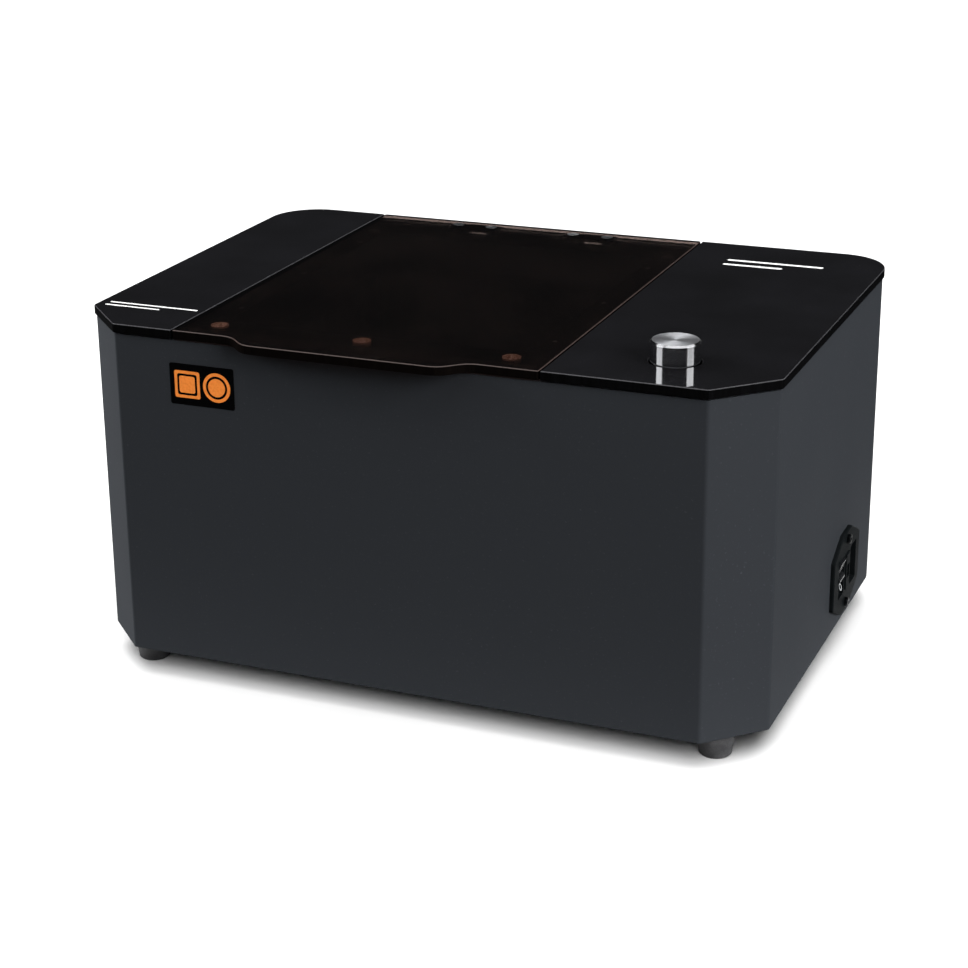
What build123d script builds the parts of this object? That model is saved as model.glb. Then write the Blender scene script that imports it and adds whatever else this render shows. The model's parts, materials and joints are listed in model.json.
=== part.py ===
from build123d import *
import os
from math import cos, radians, sin, sqrt

os.makedirs("parts", exist_ok=True)

# Light curing unit for a dental laboratory: a sheet-steel casing on four feet, a curing
# chamber with a turntable under a hinged tinted lid, and its controls at the right.
# Millimetres. Z is up, the front looks along -Y, and the origin is on the ground under
# the middle of the whole footprint, finger lip included.

# ---- Driving dimensions -------------------------------------------------------------
# Plan outline, measured over the top panels
width = 400.0
depth = 283.0
corner_cut = 30.0  # the two front corners are cut off at 45 degrees
rear_radius = 30.0
bend_radius = 3.0
overhang = 1.0  # the top panels stand out past the casing

# Heights
foot_height = 16.0  # from the ground to the casing's lower edge
casing_height = 189.0
tape = 1.0
panel = 5.0  # acrylic top panels and lid

# Sheet metal
sheet = 1.5
flange = 12.0
plate = 2.0  # base plate and top frame
fit_gap = 0.3  # between pieces of sheet that drop into each other
rear_margin = 20.0  # from the end of a rear corner's bend to the rear panel
joggle = 15.0  # strip at each side that the rear panel is screwed to
joggle_weld = 8.0
tape_width = 10.0
tape_setback = 2.0

# Screws of the sheet metal: from the unit's outline to the outermost one
base_screw_end = 70.0
side_screw_end = 80.0
frame_screw_end = 56.5
rear_screw_end = 24.0
vent_field = (40.0, 3.5)  # length and width of a cooling slot in the base plate
vent_count = 7
vent_step = 8.0

# Lid
lid_width = 212.7
lid_x = -26.35
panel_gap = 1.1
lip_reach = 12.0
lip_base = 149.5
lip_flat = 102.0
lip_x = -27.5
lid_corner = 0.8
edge_break = 0.4

# Hinges
hinge_spread = 77.4
hinge_width = 32.0
knuckle_middle = 12.4
knuckle_gap = 0.2
knuckle_radius = 2.5
pin_radius = 1.2
leaf = 1.5
leaf_rise = 2.75  # hinge axis to the face that the lid sits on
leaf_length = 13.5
leaf_hole_x = 11.2
leaf_hole_reach = 7.0
leaf_hole_drop = 8.5
lid_screw_head = 3.7
lid_screw_key = 1.2  # depth of the socket
knuckle_clearance = 1.0
notch_gap = 0.5
bar_depth = 5.4
bar_height = 17.0

# Curing chamber
chamber_x = -29.0
mouth_margin = 32.7  # by how much the mouth is narrower than the lid
chamber_front = 37.5  # from the unit's front to the mouth
chamber_rear = 33.5
chamber_depth = 125.5
chamber_corner = 6.0
liner = 1.0
liner_flange = 8.0
liner_flange_corner = 3.0
liner_screw_end = 26.0

# Lid catches
magnet_radius = 5.0
magnet_thickness = 3.2
magnet_spread = 86.0
magnet_inset = 22.0
disc_thickness = 0.8
bumper_radius = 4.0
bumper_thickness = 0.8
bumper_round = 0.3
bumper_inset = 9.0  # from the lid's side
bumper_front = 7.0
bumper_rear = 30.0
sensor_size = (16.0, 8.0, 6.0)
sensor_round = 1.0

# Turntable
table_margin = 10.0  # from the disc to the chamber's side walls
table_thickness = 4.0
table_lift = 16.0  # chamber floor to the underside of the disc
table_chamfer = 0.8
hub_radius = 13.0
hub_height = 8.0
hub_chamfer = 1.5
shaft_radius = 3.5
shaft_inset = 6.0
motor_radius = 25.0
motor_height = 22.0
ear_span = 60.0
ear_width = 18.0
boss_radius = 6.0
boss_height = 4.0
table_screw_length = 8.0

# Light sources
board = 1.6
led_board_length = 150.0
rear_board_length = 130.0
led_board_height = 70.0
led_board_lift = 30.0
led_size = 3.5
led_thickness = 1.5
led_columns = 8
led_rows = 4
window = 2.5
window_margin = 8.0
window_gap = 1.0
window_corner = 4.0
pillar_radius = 3.0
pillar_head = 1.5
heatsink_depth = 11.0
heatsink_base = 2.5
fin = 1.4
fin_count = 9

# Fan
fan_size = 80.0
fan_depth = 25.0
fan_bore = 38.0
fan_pitch = 71.5
fan_rise = 94.0  # fan's axis above the casing's lower edge
fan_hub = 16.0
fan_corner = 4.0
fan_hub_gap = 0.5
fan_hub_round = 2.0
fan_axle = 1.5
blade_count = 7
blade_root = 5.0  # how deep a blade starts in the hub
blade_tip_gap = 1.0
blade_chord = 19.0
blade_camber = 2.6
blade = 1.4
blade_pitch = 50.0  # from the fan's axis to the chord
fan_strut = 3.0
fan_screw_grip = 10.0
grille_width = 3.6
grille_step = 6.4
grille_rings = 5
grille_bar = 5.0

# Feet
foot_radius = 10.0
foot_recess = 8.0
foot_recess_radius = 5.0
foot_taper = 1.0
foot_screw_rest = 2.0  # thread past the base plate
foot_inset_x = 28.5
foot_inset_y = 25.5

# Knob and encoder
knob_from_side = 60.3
knob_from_front = 41.2
knob_radius = 13.2
knob_stand = 11.4  # knob's top above the panel
knob_sink = 2.0  # knob's lower edge below the panel's top
knob_gap = 0.8
knob_chamfer = 0.9
knob_recess_radius = 8.0
grub_rise = 3.0  # grub screw's axis above the panel's top
grub_length = 6.0
encoder_size = 12.5
encoder_height = 9.5
encoder_floor = 1.0
encoder_nut_half = 5.0
bush_radius = 3.6
bush_height = 4.0
bush_chamfer = 0.4
nut_height = 2.2
stem_radius = 3.0
stem_length = 21.0
stem_chamfer = 0.5
plunger_height = 1.5

# Mains inlet on the right wall
inlet_from_rear = 95.2
inlet_rise = 30.9  # inlet's middle above the casing's lower edge
inlet_long = 60.0  # along Y
inlet_high = 50.0  # along Z
inlet_flat = 30.0  # height of the flange's short ends
inlet_flange = 2.5
inlet_corner = 3.0
inlet_chamfer = 0.6
inlet_body_long = 47.0
inlet_body_high = 27.0
inlet_body_depth = 33.0
inlet_hole_pitch = 40.0
socket_long = 16.6
socket_high = 24.2
socket_depth = 17.0
socket_shift = 13.6
socket_cut = 4.0
socket_round = 1.0
drawer_long = 8.0
drawer_high = 22.0
drawer_depth = 24.0
drawer_shift = 0.4
drawer_proud = 0.8
drawer_round = 0.5
drawer_wall = 1.2
drawer_notch = (3.0, 8.0)
rocker_long = 12.0
rocker_high = 22.0
rocker_shift = -13.2
rocker_tilt = 8.0
rocker_sink = 1.5
rocker_end = 0.4  # shortfall of each end inside its well
rocker_end_gap = 0.6
rocker_rise = 1.2
rocker_dip = 0.4
rocker_skirt = 3.0
rocker_depth = 7.0
rocker_foot = 6.0
inlet_crown = 18.0
socket_pin_pitch = 14.0
socket_pin_shift = 2.0
pin_thickness = 2.0
pin_width = 4.0
pin_tail = 8.0
pin_setback = 2.5
pin_chamfer = 0.4
rocker_well = 14.0
trunnion_radius = 1.2
trunnion_length = 1.5
trunnion_web = 1.0
fuse_radius = 2.5
fuse_tube = 2.3
fuse_length = 20.0
fuse_cap = 5.0

# Electronics
power_size = (75.0, 125.0, 32.0)
power_from_side = 83.0
power_from_rear = 85.0
power_foot_inset = (10.0, 12.0)
blind_hole = 5.0
terminal_bay = 18.0
terminal_block = (63.0, 10.0, 9.0)
terminal_radius = 2.6
terminal_count = 7
vent_radius = 2.5
vent_depth = 1.2
vent_pitch = (12.0, 14.0)
vent_columns = 5
vent_rows = 6
driver_size = (46.0, 110.0, 26.0)
driver_from_side = 35.0
driver_corner = 3.0
driver_foot_inset = 10.0
groove_width = 3.0
groove_depth = 3.0
groove_count = 7
groove_end = 8.0
control_size = (100.0, 80.0)
control_from_side = 68.0
control_from_front = 71.5
control_corner = 2.0
control_foot_inset = 5.0
standoff_height = 10.0
standoff_radius = 3.0
# Parts on the control board, placed from its middle: row, pitch and size
plug_row = (0.0, -32.0)
plug_count = 5
plug_pitch = 16.0
plug_size = (14.0, 9.0, 10.0)
relay_row = (-20.0, 20.0)
relay_count = 2
relay_pitch = 22.0
relay_size = (19.0, 15.0, 15.0)
chip_row = (0.0, -8.0)
chip_count = 3
chip_pitch = 22.0
chip_size = (10.0, 6.0, 2.0)
processor_row = (26.0, 18.0)
processor_size = (14.0, 14.0, 2.0)
capacitor_row = (26.0, -20.0)
capacitor_count = 2
capacitor_pitch = 13.0
capacitor_radius = 4.0
capacitor_height = 12.0

# Fasteners and running fits
m3 = 1.5
m4 = 2.0
screw_gap = 0.1
head_height = 2.0
head_ratio = 1.9  # head's radius over the shank's
head_crown = 0.45  # rounding over the head's height
key_ratio = 0.75
key_depth = 0.5
m3_nut = 2.75
m4_nut = 3.5
running_gap = 0.05
seat_gap = 0.3

# ---- Levels and planes that follow ---------------------------------------------------
corners = [(s, t) for s in (-1, 1) for t in (-1, 1)]
mid_y = lip_reach / 2
front_y = mid_y - depth / 2
rear_y = mid_y + depth / 2
casing_front = front_y + overhang
casing_rear = rear_y - overhang
rear_inner = casing_rear - sheet
side_outer = width / 2 - overhang
side_inner = side_outer - sheet
casing_top = foot_height + casing_height
panel_bottom = casing_top + tape
panel_top = panel_bottom + panel
lid_left = lid_x - lid_width / 2
lid_right = lid_x + lid_width / 2
base_bottom = foot_height + sheet
base_top = base_bottom + plate
frame_top = casing_top - sheet
frame_bottom = frame_top - plate
plate_rear = rear_inner - sheet - fit_gap
rear_panel_half = width / 2 - rear_radius - rear_margin

hinge_y = rear_inner + screw_gap
hinge_z = panel_bottom - leaf_rise
hinge_centres = [lip_x + side * hinge_spread / 2 for side in (-1, 1)]
# The hinge bar is as long as the lid is wide, between the strips that the rear panel lies on
bar_reach = rear_panel_half - joggle - fit_gap
bar_left = max(lid_left, -bar_reach)
bar_right = min(lid_right, bar_reach)
bar_front = rear_inner - bar_depth
bar_bottom = casing_top - bar_height
notch_bottom = hinge_z - knuckle_radius - knuckle_clearance
notch_half = hinge_width / 2 + notch_gap
leaf_screw_y = hinge_y - leaf_hole_reach
leaf_screw_z = hinge_z - leaf_hole_drop

chamber_width = lid_width - mouth_margin
chamber_length = depth - chamber_front - chamber_rear
chamber_y = mid_y + (chamber_front - chamber_rear) / 2
floor_top = frame_bottom - chamber_depth
floor_bottom = floor_top - liner
table_bottom = floor_top + table_lift
magnet_xs = [chamber_x + step * magnet_spread for step in (-1, 0, 1)]
magnet_y = front_y + magnet_inset

motor_screw_places = [(chamber_x + s * ear_span / 2, chamber_y) for s in (-1, 1)]
motor_bottom = floor_bottom - plate - motor_height
shaft_bottom = motor_bottom + shaft_inset
table_radius = chamber_width / 2 - table_margin

knob_x = width / 2 - knob_from_side
knob_y = front_y + knob_from_front
grub_z = panel_top + grub_rise
knob_top = panel_top + knob_stand
knob_bottom = panel_top - knob_sink
knob_hole = knob_radius + knob_gap
inlet_y = rear_y - inlet_from_rear
inlet_height = foot_height + inlet_rise
fan_height = foot_height + fan_rise
fan_front = rear_inner - fan_depth
power_x = width / 2 - power_from_side
power_y = rear_y - power_from_rear
driver_x = driver_from_side - width / 2
control_x = width / 2 - control_from_side
control_y = front_y + control_from_front
power_feet = [
    (
        power_x + s * (power_size[0] / 2 - power_foot_inset[0]),
        power_y + t * (power_size[1] / 2 - power_foot_inset[1]),
    )
    for s, t in corners
]
driver_feet = [(driver_x, mid_y + t * (driver_size[1] / 2 - driver_foot_inset)) for t in (-1, 1)]
board_feet = [
    (
        control_x + s * (control_size[0] / 2 - control_foot_inset),
        control_y + t * (control_size[1] / 2 - control_foot_inset),
    )
    for s, t in corners
]
hinge_holes = [(x + s * leaf_hole_x, leaf_screw_z) for x in hinge_centres for s in (-1, 1)]
leaf_holes = [(x + s * leaf_hole_x, leaf_screw_y) for x in hinge_centres for s in (-1, 1)]
foot_places = [(s * (width / 2 - foot_inset_x), mid_y + t * (depth / 2 - foot_inset_y)) for s, t in corners]


# ---- Helpers -------------------------------------------------------------------------
def save(piece, name):
    """Labels a finished piece and writes it as one STEP file."""
    piece.part.label = name
    export_step(piece.part, f"parts/{name}.step")


def plan_outline(sketch, inset):
    """Draws the unit's plan outline into the open sketch, drawn in by `inset`."""
    cut = corner_cut - inset * (2 - sqrt(2))
    with Locations((0, mid_y)):
        Rectangle(width - 2 * inset, depth - 2 * inset)
    chamfer(sketch.vertices().group_by(Axis.Y)[0], cut)
    fillet(sketch.vertices().group_by(Axis.Y)[-1], rear_radius - inset)
    corner_ends = sketch.vertices().filter_by_position(Axis.Y, front_y - cut, front_y + inset + 2 * cut)
    fillet(corner_ends, bend_radius)


def level(z):
    """The horizontal plane at height z."""
    return Plane.XY.offset(z)


def upright(y):
    """The vertical plane at depth y, seen from the front: its own axes are X and Z."""
    return Plane.XZ.offset(-y)


def behind(y):
    """The vertical plane at depth y, seen from behind: its own X runs backwards."""
    return Plane(origin=(0, y, 0), x_dir=(-1, 0, 0), z_dir=(0, 1, 0))


def below(z):
    """The horizontal plane at height z, seen from below: its own Y runs backwards."""
    return Plane(origin=(0, 0, z), x_dir=(1, 0, 0), z_dir=(0, 0, -1))


def seen_behind(places):
    """Places (x, z) in the own axes of a plane that is seen from behind."""
    return [(-x, z) for x, z in places]


def seen_below(places):
    """Places (x, y) in the own axes of a plane that is seen from below."""
    return [(x, -y) for x, y in places]


def side(x):
    """The vertical plane at x, seen from the right: its own axes are Y and Z."""
    return Plane.YZ.offset(x)


def slab(x0, x1, y0, y1, z0, z1, mode=Mode.ADD):
    """A plain block between two corners, inside the open part."""
    with Locations(((x0 + x1) / 2, (y0 + y1) / 2, (z0 + z1) / 2)):
        Box(x1 - x0, y1 - y0, z1 - z0, mode=mode)


def rod(plane, centres, radius, length, mode=Mode.ADD):
    """Round bars or holes that start on a plane and run along its normal."""
    with BuildSketch(plane) as discs:
        with Locations(*centres):
            Circle(radius)
    extrude(discs.sketch, amount=length, mode=mode)


def screws(name, plane, centres, radius, length, head=head_height):
    """Writes a group of pan-head screws: heads stand on the plane, shanks go behind it."""
    with BuildPart() as group:
        rod(plane, centres, radius, -length)
        with BuildSketch(plane):
            with Locations(*centres):
                Circle(radius * head_ratio)
        extrude(amount=head)
        crowns = group.faces().sort_by(Axis(plane.origin, plane.z_dir))[-len(centres) :]
        fillet(crowns.edges(), head * head_crown)
        with BuildSketch(plane.offset(head)):
            with Locations(*centres):
                RegularPolygon(radius * key_ratio, 6)
        extrude(amount=-head * key_depth, mode=Mode.SUBTRACT)
    save(group, name)


def sink(plane, centres, radius, head, mode=Mode.ADD):
    """Adds countersunk heads: flat on the plane, and a cone behind it down to the shank's radius."""
    with BuildSketch(plane) as tops:
        with Locations(*centres):
            Circle(head)
    extrude(tops.sketch, amount=radius - head, taper=45, mode=mode)


def hinge_knuckle(centre, low, high):
    """One knuckle's solid ring around the hinge axis, between two places along it."""
    with BuildSketch(side(centre + low)) as ring:
        with Locations((hinge_y, hinge_z)):
            Circle(knuckle_radius)
    extrude(ring.sketch, amount=high - low)


# ---- Casing --------------------------------------------------------------------------
flange_line = side_inner - flange / 2
base_screw_reach = width / 2 - base_screw_end
base_screw_places = [
    (base_screw_reach * share, casing_front + sheet + flange / 2) for share in (-1, -1 / 3, 1 / 3, 1)
]
base_screw_places += [(s * flange_line, mid_y + t * (depth / 2 - side_screw_end)) for s, t in corners]
frame_screw_places = [
    (s * flange_line, mid_y + t * (depth / 2 - frame_screw_end)) for s in (-1, 1) for t in (-1, 0, 1)
]
rear_screw_reach = casing_height / 2 - rear_screw_end
rear_screw_places = [
    (s * (rear_panel_half - joggle / 2), foot_height + casing_height / 2 + t * rear_screw_reach)
    for s in (-1, 1)
    for t in (-1, 0, 1)
]

with BuildPart() as casing_wrap:
    with BuildSketch(level(foot_height)) as outer_plan:
        plan_outline(outer_plan, overhang)
    extrude(amount=casing_height)
    with BuildSketch(level(foot_height)) as inner_plan:
        plan_outline(inner_plan, overhang + sheet)
    extrude(amount=casing_height, mode=Mode.SUBTRACT)
    for z in (foot_height, frame_top):
        with BuildSketch(level(z)) as ring_plan:
            plan_outline(ring_plan, overhang + sheet / 2)
            offset(amount=-flange - sheet / 2, mode=Mode.SUBTRACT)
        extrude(amount=sheet)
    slab(
        -rear_panel_half,
        rear_panel_half,
        rear_inner - flange - sheet,
        rear_y,
        foot_height,
        casing_top,
        Mode.SUBTRACT,
    )
    for s in (-1, 1):
        low, high = sorted((s * (rear_panel_half - joggle), s * (rear_panel_half + joggle_weld)))
        slab(low, high, rear_inner - sheet, rear_inner, base_top + fit_gap, frame_bottom - fit_gap)
    # The feet reach up past the lower flange to the base plate
    rod(level(foot_height), foot_places, foot_radius + fit_gap, sheet, Mode.SUBTRACT)
    # Holes for the base screws and the top frame's screws
    rod(level(foot_height), base_screw_places, m3 + screw_gap, sheet, Mode.SUBTRACT)
    rod(level(frame_top), frame_screw_places, m3 + screw_gap, sheet, Mode.SUBTRACT)
    rod(upright(rear_inner), rear_screw_places, m3 + screw_gap, sheet, Mode.SUBTRACT)
    # Cut-out for the mains inlet, with its two screw holes
    with BuildSketch(side(side_inner - sheet)):
        with Locations((inlet_y, inlet_height)):
            Rectangle(inlet_body_long + 2 * fit_gap, inlet_body_high + 2 * fit_gap)
            with GridLocations(0, inlet_hole_pitch, 1, 2):
                Circle(m3 + screw_gap)
    extrude(amount=3 * sheet, mode=Mode.SUBTRACT)
save(casing_wrap, "casing_wrap")

with BuildPart() as rear_panel:
    slab(
        fit_gap - rear_panel_half,
        rear_panel_half - fit_gap,
        rear_inner,
        casing_rear,
        foot_height,
        casing_top,
    )
    lap = rear_panel_half - joggle - fit_gap
    slab(-lap, lap, rear_inner - flange, rear_inner, foot_height, base_bottom)
    for x in hinge_centres:
        slab(
            x - notch_half,
            x + notch_half,
            rear_inner - sheet,
            rear_y,
            notch_bottom,
            panel_bottom,
            Mode.SUBTRACT,
        )
    rod(upright(casing_rear), hinge_holes, m4 + screw_gap, sheet, Mode.SUBTRACT)
    rod(upright(casing_rear), rear_screw_places, m3 + screw_gap, sheet, Mode.SUBTRACT)
    # Fan grille: rings of slots around a solid middle, and the fan's screw holes
    with BuildSketch(upright(casing_rear)):
        with Locations((chamber_x, fan_height)):
            for number in range(grille_rings):
                Circle(fan_bore - number * grille_step)
                Circle(fan_bore - number * grille_step - grille_width, mode=Mode.SUBTRACT)
            Rectangle(2 * fan_size, grille_bar, rotation=45, mode=Mode.SUBTRACT)
            Rectangle(2 * fan_size, grille_bar, rotation=-45, mode=Mode.SUBTRACT)
            with GridLocations(fan_pitch, fan_pitch, 2, 2):
                Circle(m4 + screw_gap)
    extrude(amount=sheet, mode=Mode.SUBTRACT)
save(rear_panel, "rear_panel")

screws("rear_panel_screws", behind(casing_rear), seen_behind(rear_screw_places), m3, 2 * sheet)

# Base plate with two fields of cooling slots
with BuildPart() as base_plate:
    with BuildSketch(level(base_bottom)) as base_plan:
        plan_outline(base_plan, overhang + sheet + fit_gap)
    extrude(amount=plate)
    slab(-width, width, plate_rear, rear_y, base_bottom, base_top, Mode.SUBTRACT)
    with BuildSketch(level(base_bottom)):
        for x in (driver_x, control_x):
            with Locations((x, control_y)):
                with GridLocations(vent_step, 0, vent_count, 1):
                    SlotOverall(*vent_field, rotation=90)
    extrude(amount=plate, mode=Mode.SUBTRACT)
    rod(level(base_bottom), foot_places, m4 + screw_gap, plate, Mode.SUBTRACT)
    rod(level(base_bottom), base_screw_places, m3 + screw_gap, plate, Mode.SUBTRACT)
    rod(
        level(base_bottom),
        power_feet + driver_feet + board_feet,
        m3 + screw_gap,
        plate,
        Mode.SUBTRACT,
    )
save(base_plate, "base_plate")
screws("base_screws", below(foot_height), seen_below(base_screw_places), m3, sheet + plate)

# Feet: turned rubber with a recess for the screw
with BuildPart() as feet:
    for x, y in foot_places:
        with BuildSketch(upright(y)):
            with BuildLine():
                Polyline(
                    (x + m4 + screw_gap, foot_recess),
                    (x + m4 + screw_gap, base_bottom),
                    (x + foot_radius, base_bottom),
                    (x + foot_radius, foot_recess),
                    (x + foot_radius - foot_taper, foot_taper),
                    (x + foot_radius - 2 * foot_taper, 0),
                    (x + foot_recess_radius, 0),
                    (x + foot_recess_radius, foot_recess),
                    close=True,
                )
            make_face()
        revolve(axis=Axis((x, y, 0), (0, 0, 1)))
save(feet, "feet")
foot_screw_length = base_top + foot_screw_rest - foot_recess
screws("foot_screws", below(foot_recess), seen_below(foot_places), m4, foot_screw_length)

# ---- Top frame, panels and lid --------------------------------------------------------
mouth = (chamber_width, chamber_length)
with BuildPart() as top_frame:
    with BuildSketch(level(frame_bottom)) as frame_plan:
        plan_outline(frame_plan, overhang + sheet + fit_gap)
        with Locations((chamber_x, chamber_y)):
            RectangleRounded(*mouth, chamber_corner, mode=Mode.SUBTRACT)
    extrude(amount=plate)
    slab(-width, width, plate_rear, rear_y, frame_bottom, frame_top, Mode.SUBTRACT)
    slab(
        lid_left - fit_gap,
        lid_right + fit_gap,
        bar_front,
        rear_y,
        frame_bottom,
        frame_top,
        Mode.SUBTRACT,
    )
    for x in hinge_centres:
        slab(
            x - notch_half - notch_gap,
            x + notch_half + notch_gap,
            hinge_y - leaf_length - knuckle_clearance,
            rear_inner,
            frame_bottom,
            frame_top,
            Mode.SUBTRACT,
        )
    rod(level(frame_bottom), frame_screw_places, m3 + screw_gap, plate, Mode.SUBTRACT)
    rod(
        level(frame_bottom),
        [(x, magnet_y) for x in magnet_xs],
        magnet_radius + running_gap,
        plate,
        Mode.SUBTRACT,
    )
    rod(level(frame_bottom), [(knob_x, knob_y)], bush_radius + running_gap, plate, Mode.SUBTRACT)
    liner_screw_reach = chamber_length / 2 - liner_screw_end
    liner_screw_places = [
        (chamber_x + s * (chamber_width + liner_flange + liner) / 2, chamber_y + y)
        for s in (-1, 1)
        for y in (-liner_screw_reach, 0.0, liner_screw_reach)
    ]
    rod(level(frame_bottom), liner_screw_places, m3 + screw_gap, plate, Mode.SUBTRACT)
save(top_frame, "top_frame")
screws("frame_screws", below(frame_bottom), seen_below(frame_screw_places), m3, plate + sheet)

with BuildPart() as left_top_panel:
    with BuildSketch(level(panel_bottom)) as left_plan:
        plan_outline(left_plan, 0)
        with Locations((lid_left - panel_gap, mid_y)):
            Rectangle(2 * width, 2 * depth, align=(Align.MIN, Align.CENTER), mode=Mode.SUBTRACT)
    extrude(amount=panel)
    chamfer(left_top_panel.faces().sort_by(Axis.Z)[-1].edges(), edge_break)
save(left_top_panel, "left_top_panel")

with BuildPart() as right_top_panel:
    with BuildSketch(level(panel_bottom)) as right_plan:
        plan_outline(right_plan, 0)
        with Locations((lid_right + panel_gap, mid_y)):
            Rectangle(2 * width, 2 * depth, align=(Align.MAX, Align.CENTER), mode=Mode.SUBTRACT)
        with Locations((knob_x, knob_y)):
            Circle(knob_hole, mode=Mode.SUBTRACT)
    extrude(amount=panel)
    chamfer(right_top_panel.faces().sort_by(Axis.Z)[-1].edges(), edge_break)
save(right_top_panel, "right_top_panel")

# Double-sided tape under the two panels, on the casing's top flange
with BuildPart() as panel_tape:
    with BuildSketch(level(casing_top)) as tape_plan:
        plan_outline(tape_plan, overhang + sheet)
        offset(amount=-tape_width, mode=Mode.SUBTRACT)
    extrude(amount=tape)
    slab(
        lid_left - panel_gap - tape_setback,
        lid_right + panel_gap + tape_setback,
        front_y,
        rear_y,
        casing_top,
        panel_bottom,
        Mode.SUBTRACT,
    )
    slab(
        -rear_panel_half,
        rear_panel_half,
        rear_inner - flange - sheet,
        rear_y,
        casing_top,
        panel_bottom,
        Mode.SUBTRACT,
    )
save(panel_tape, "panel_tape")

with BuildPart() as lid_panel:
    with BuildSketch(level(panel_bottom)):
        with Locations((lid_x, mid_y)):
            RectangleRounded(lid_width, depth, lid_corner)
        with BuildLine():
            left_base = (lip_x - lip_base / 2, front_y)
            left_flat = (lip_x - lip_flat / 2, front_y - lip_reach)
            right_flat = (lip_x + lip_flat / 2, front_y - lip_reach)
            right_base = (lip_x + lip_base / 2, front_y)
            Spline(left_base, left_flat, tangents=((1, 0), (1, 0)))
            Line(left_flat, right_flat)
            Spline(right_flat, right_base, tangents=((1, 0), (1, 0)))
            Polyline(right_base, (lip_x, front_y + lip_reach), left_base)
        make_face()
    extrude(amount=panel)
    chamfer(lid_panel.faces().sort_by(Axis.Z)[-1].edges(), edge_break)
    rod(level(panel_bottom), leaf_holes, m4 + screw_gap, panel, Mode.SUBTRACT)
    sink(level(panel_top), leaf_holes, m4, lid_screw_head, Mode.SUBTRACT)
save(lid_panel, "lid_panel")

with BuildPart() as lid_discs:
    rod(
        level(panel_bottom - disc_thickness),
        [(x, magnet_y) for x in magnet_xs],
        magnet_radius,
        disc_thickness,
    )
save(lid_discs, "lid_discs")

with BuildPart() as frame_magnets:
    magnet_top = panel_bottom - disc_thickness - seat_gap
    rod(
        level(magnet_top - magnet_thickness),
        [(x, magnet_y) for x in magnet_xs],
        magnet_radius,
        magnet_thickness,
    )
save(frame_magnets, "frame_magnets")

with BuildPart() as lid_bumpers:
    bumper_xs = [lid_x + s * (lid_width / 2 - bumper_inset) for s in (-1, 1)]
    front_bumpers = [(x, casing_front + sheet + bumper_front) for x in bumper_xs]
    rear_bumpers = [(x, bar_front - bumper_rear) for x in bumper_xs]
    rod(level(casing_top), front_bumpers, bumper_radius, bumper_thickness)
    rod(level(frame_top), rear_bumpers, bumper_radius, bumper_thickness + sheet)
    fillet(lid_bumpers.faces().group_by(Axis.Z)[-1].edges(), bumper_round)
save(lid_bumpers, "lid_bumpers")

# ---- Hinges ---------------------------------------------------------------------------
with BuildPart() as hinge_bar:
    slab(bar_left, bar_right, bar_front, rear_inner, bar_bottom, casing_top)
    for x in hinge_centres:
        low, high = x - notch_half, x + notch_half
        slab(low, high, bar_front, rear_inner, notch_bottom, casing_top, Mode.SUBTRACT)
        slab(low, high, rear_inner - leaf, rear_inner, bar_bottom, casing_top, Mode.SUBTRACT)
    rod(upright(rear_inner), hinge_holes, m4 + screw_gap, bar_depth, Mode.SUBTRACT)
save(hinge_bar, "hinge_bar")
screws("hinge_bar_screws", behind(casing_rear), seen_behind(hinge_holes), m4, sheet + bar_depth)

with BuildPart() as hinge_fixed_leaves:
    for x in hinge_centres:
        slab(
            x - hinge_width / 2,
            x + hinge_width / 2,
            rear_inner - leaf,
            rear_inner,
            bar_bottom,
            hinge_z,
        )
        hinge_knuckle(x, -hinge_width / 2, hinge_width / 2)
        slab(
            x - knuckle_middle / 2,
            x + knuckle_middle / 2,
            hinge_y - knuckle_radius - knuckle_clearance,
            hinge_y + knuckle_radius + knuckle_clearance,
            hinge_z - knuckle_radius - notch_gap,
            hinge_z + knuckle_radius + knuckle_clearance,
            Mode.SUBTRACT,
        )
    rod(side(lid_left), [(hinge_y, hinge_z)], pin_radius + running_gap, lid_width, Mode.SUBTRACT)
    rod(upright(rear_inner), hinge_holes, m4 + screw_gap, leaf, Mode.SUBTRACT)
save(hinge_fixed_leaves, "hinge_fixed_leaves")

with BuildPart() as hinge_lid_leaves:
    for x in hinge_centres:
        inner = knuckle_middle / 2 - knuckle_gap
        slab(
            x - hinge_width / 2,
            x + hinge_width / 2,
            hinge_y - leaf_length,
            hinge_y - knuckle_radius - notch_gap,
            panel_bottom - leaf,
            panel_bottom,
        )
        tongue_y = hinge_y - knuckle_radius - knuckle_clearance
        slab(x - inner, x + inner, tongue_y, hinge_y, panel_bottom - leaf, panel_bottom)
        hinge_knuckle(x, -inner, inner)
    rod(side(lid_left), [(hinge_y, hinge_z)], pin_radius + running_gap, lid_width, Mode.SUBTRACT)
    rod(level(panel_bottom - leaf), leaf_holes, m4 + screw_gap, leaf, Mode.SUBTRACT)
save(hinge_lid_leaves, "hinge_lid_leaves")

with BuildPart() as hinge_pins:
    for x in hinge_centres:
        rod(side(x - hinge_width / 2), [(hinge_y, hinge_z)], pin_radius, hinge_width)
save(hinge_pins, "hinge_pins")

with BuildPart() as lid_screws:
    rod(level(panel_top), leaf_holes, m4, -(panel + leaf + nut_height))
    sink(level(panel_top), leaf_holes, m4, lid_screw_head)
    with BuildSketch(level(panel_top)):
        with Locations(*leaf_holes):
            RegularPolygon(m4 * key_ratio, 6)
    extrude(amount=-lid_screw_key, mode=Mode.SUBTRACT)
save(lid_screws, "lid_screws")

with BuildPart() as lid_nuts:
    with BuildSketch(level(panel_bottom - leaf)):
        with Locations(*leaf_holes):
            RegularPolygon(m4_nut, 6, major_radius=False)
            Circle(m4, mode=Mode.SUBTRACT)
    extrude(amount=-nut_height)
save(lid_nuts, "lid_nuts")

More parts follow.
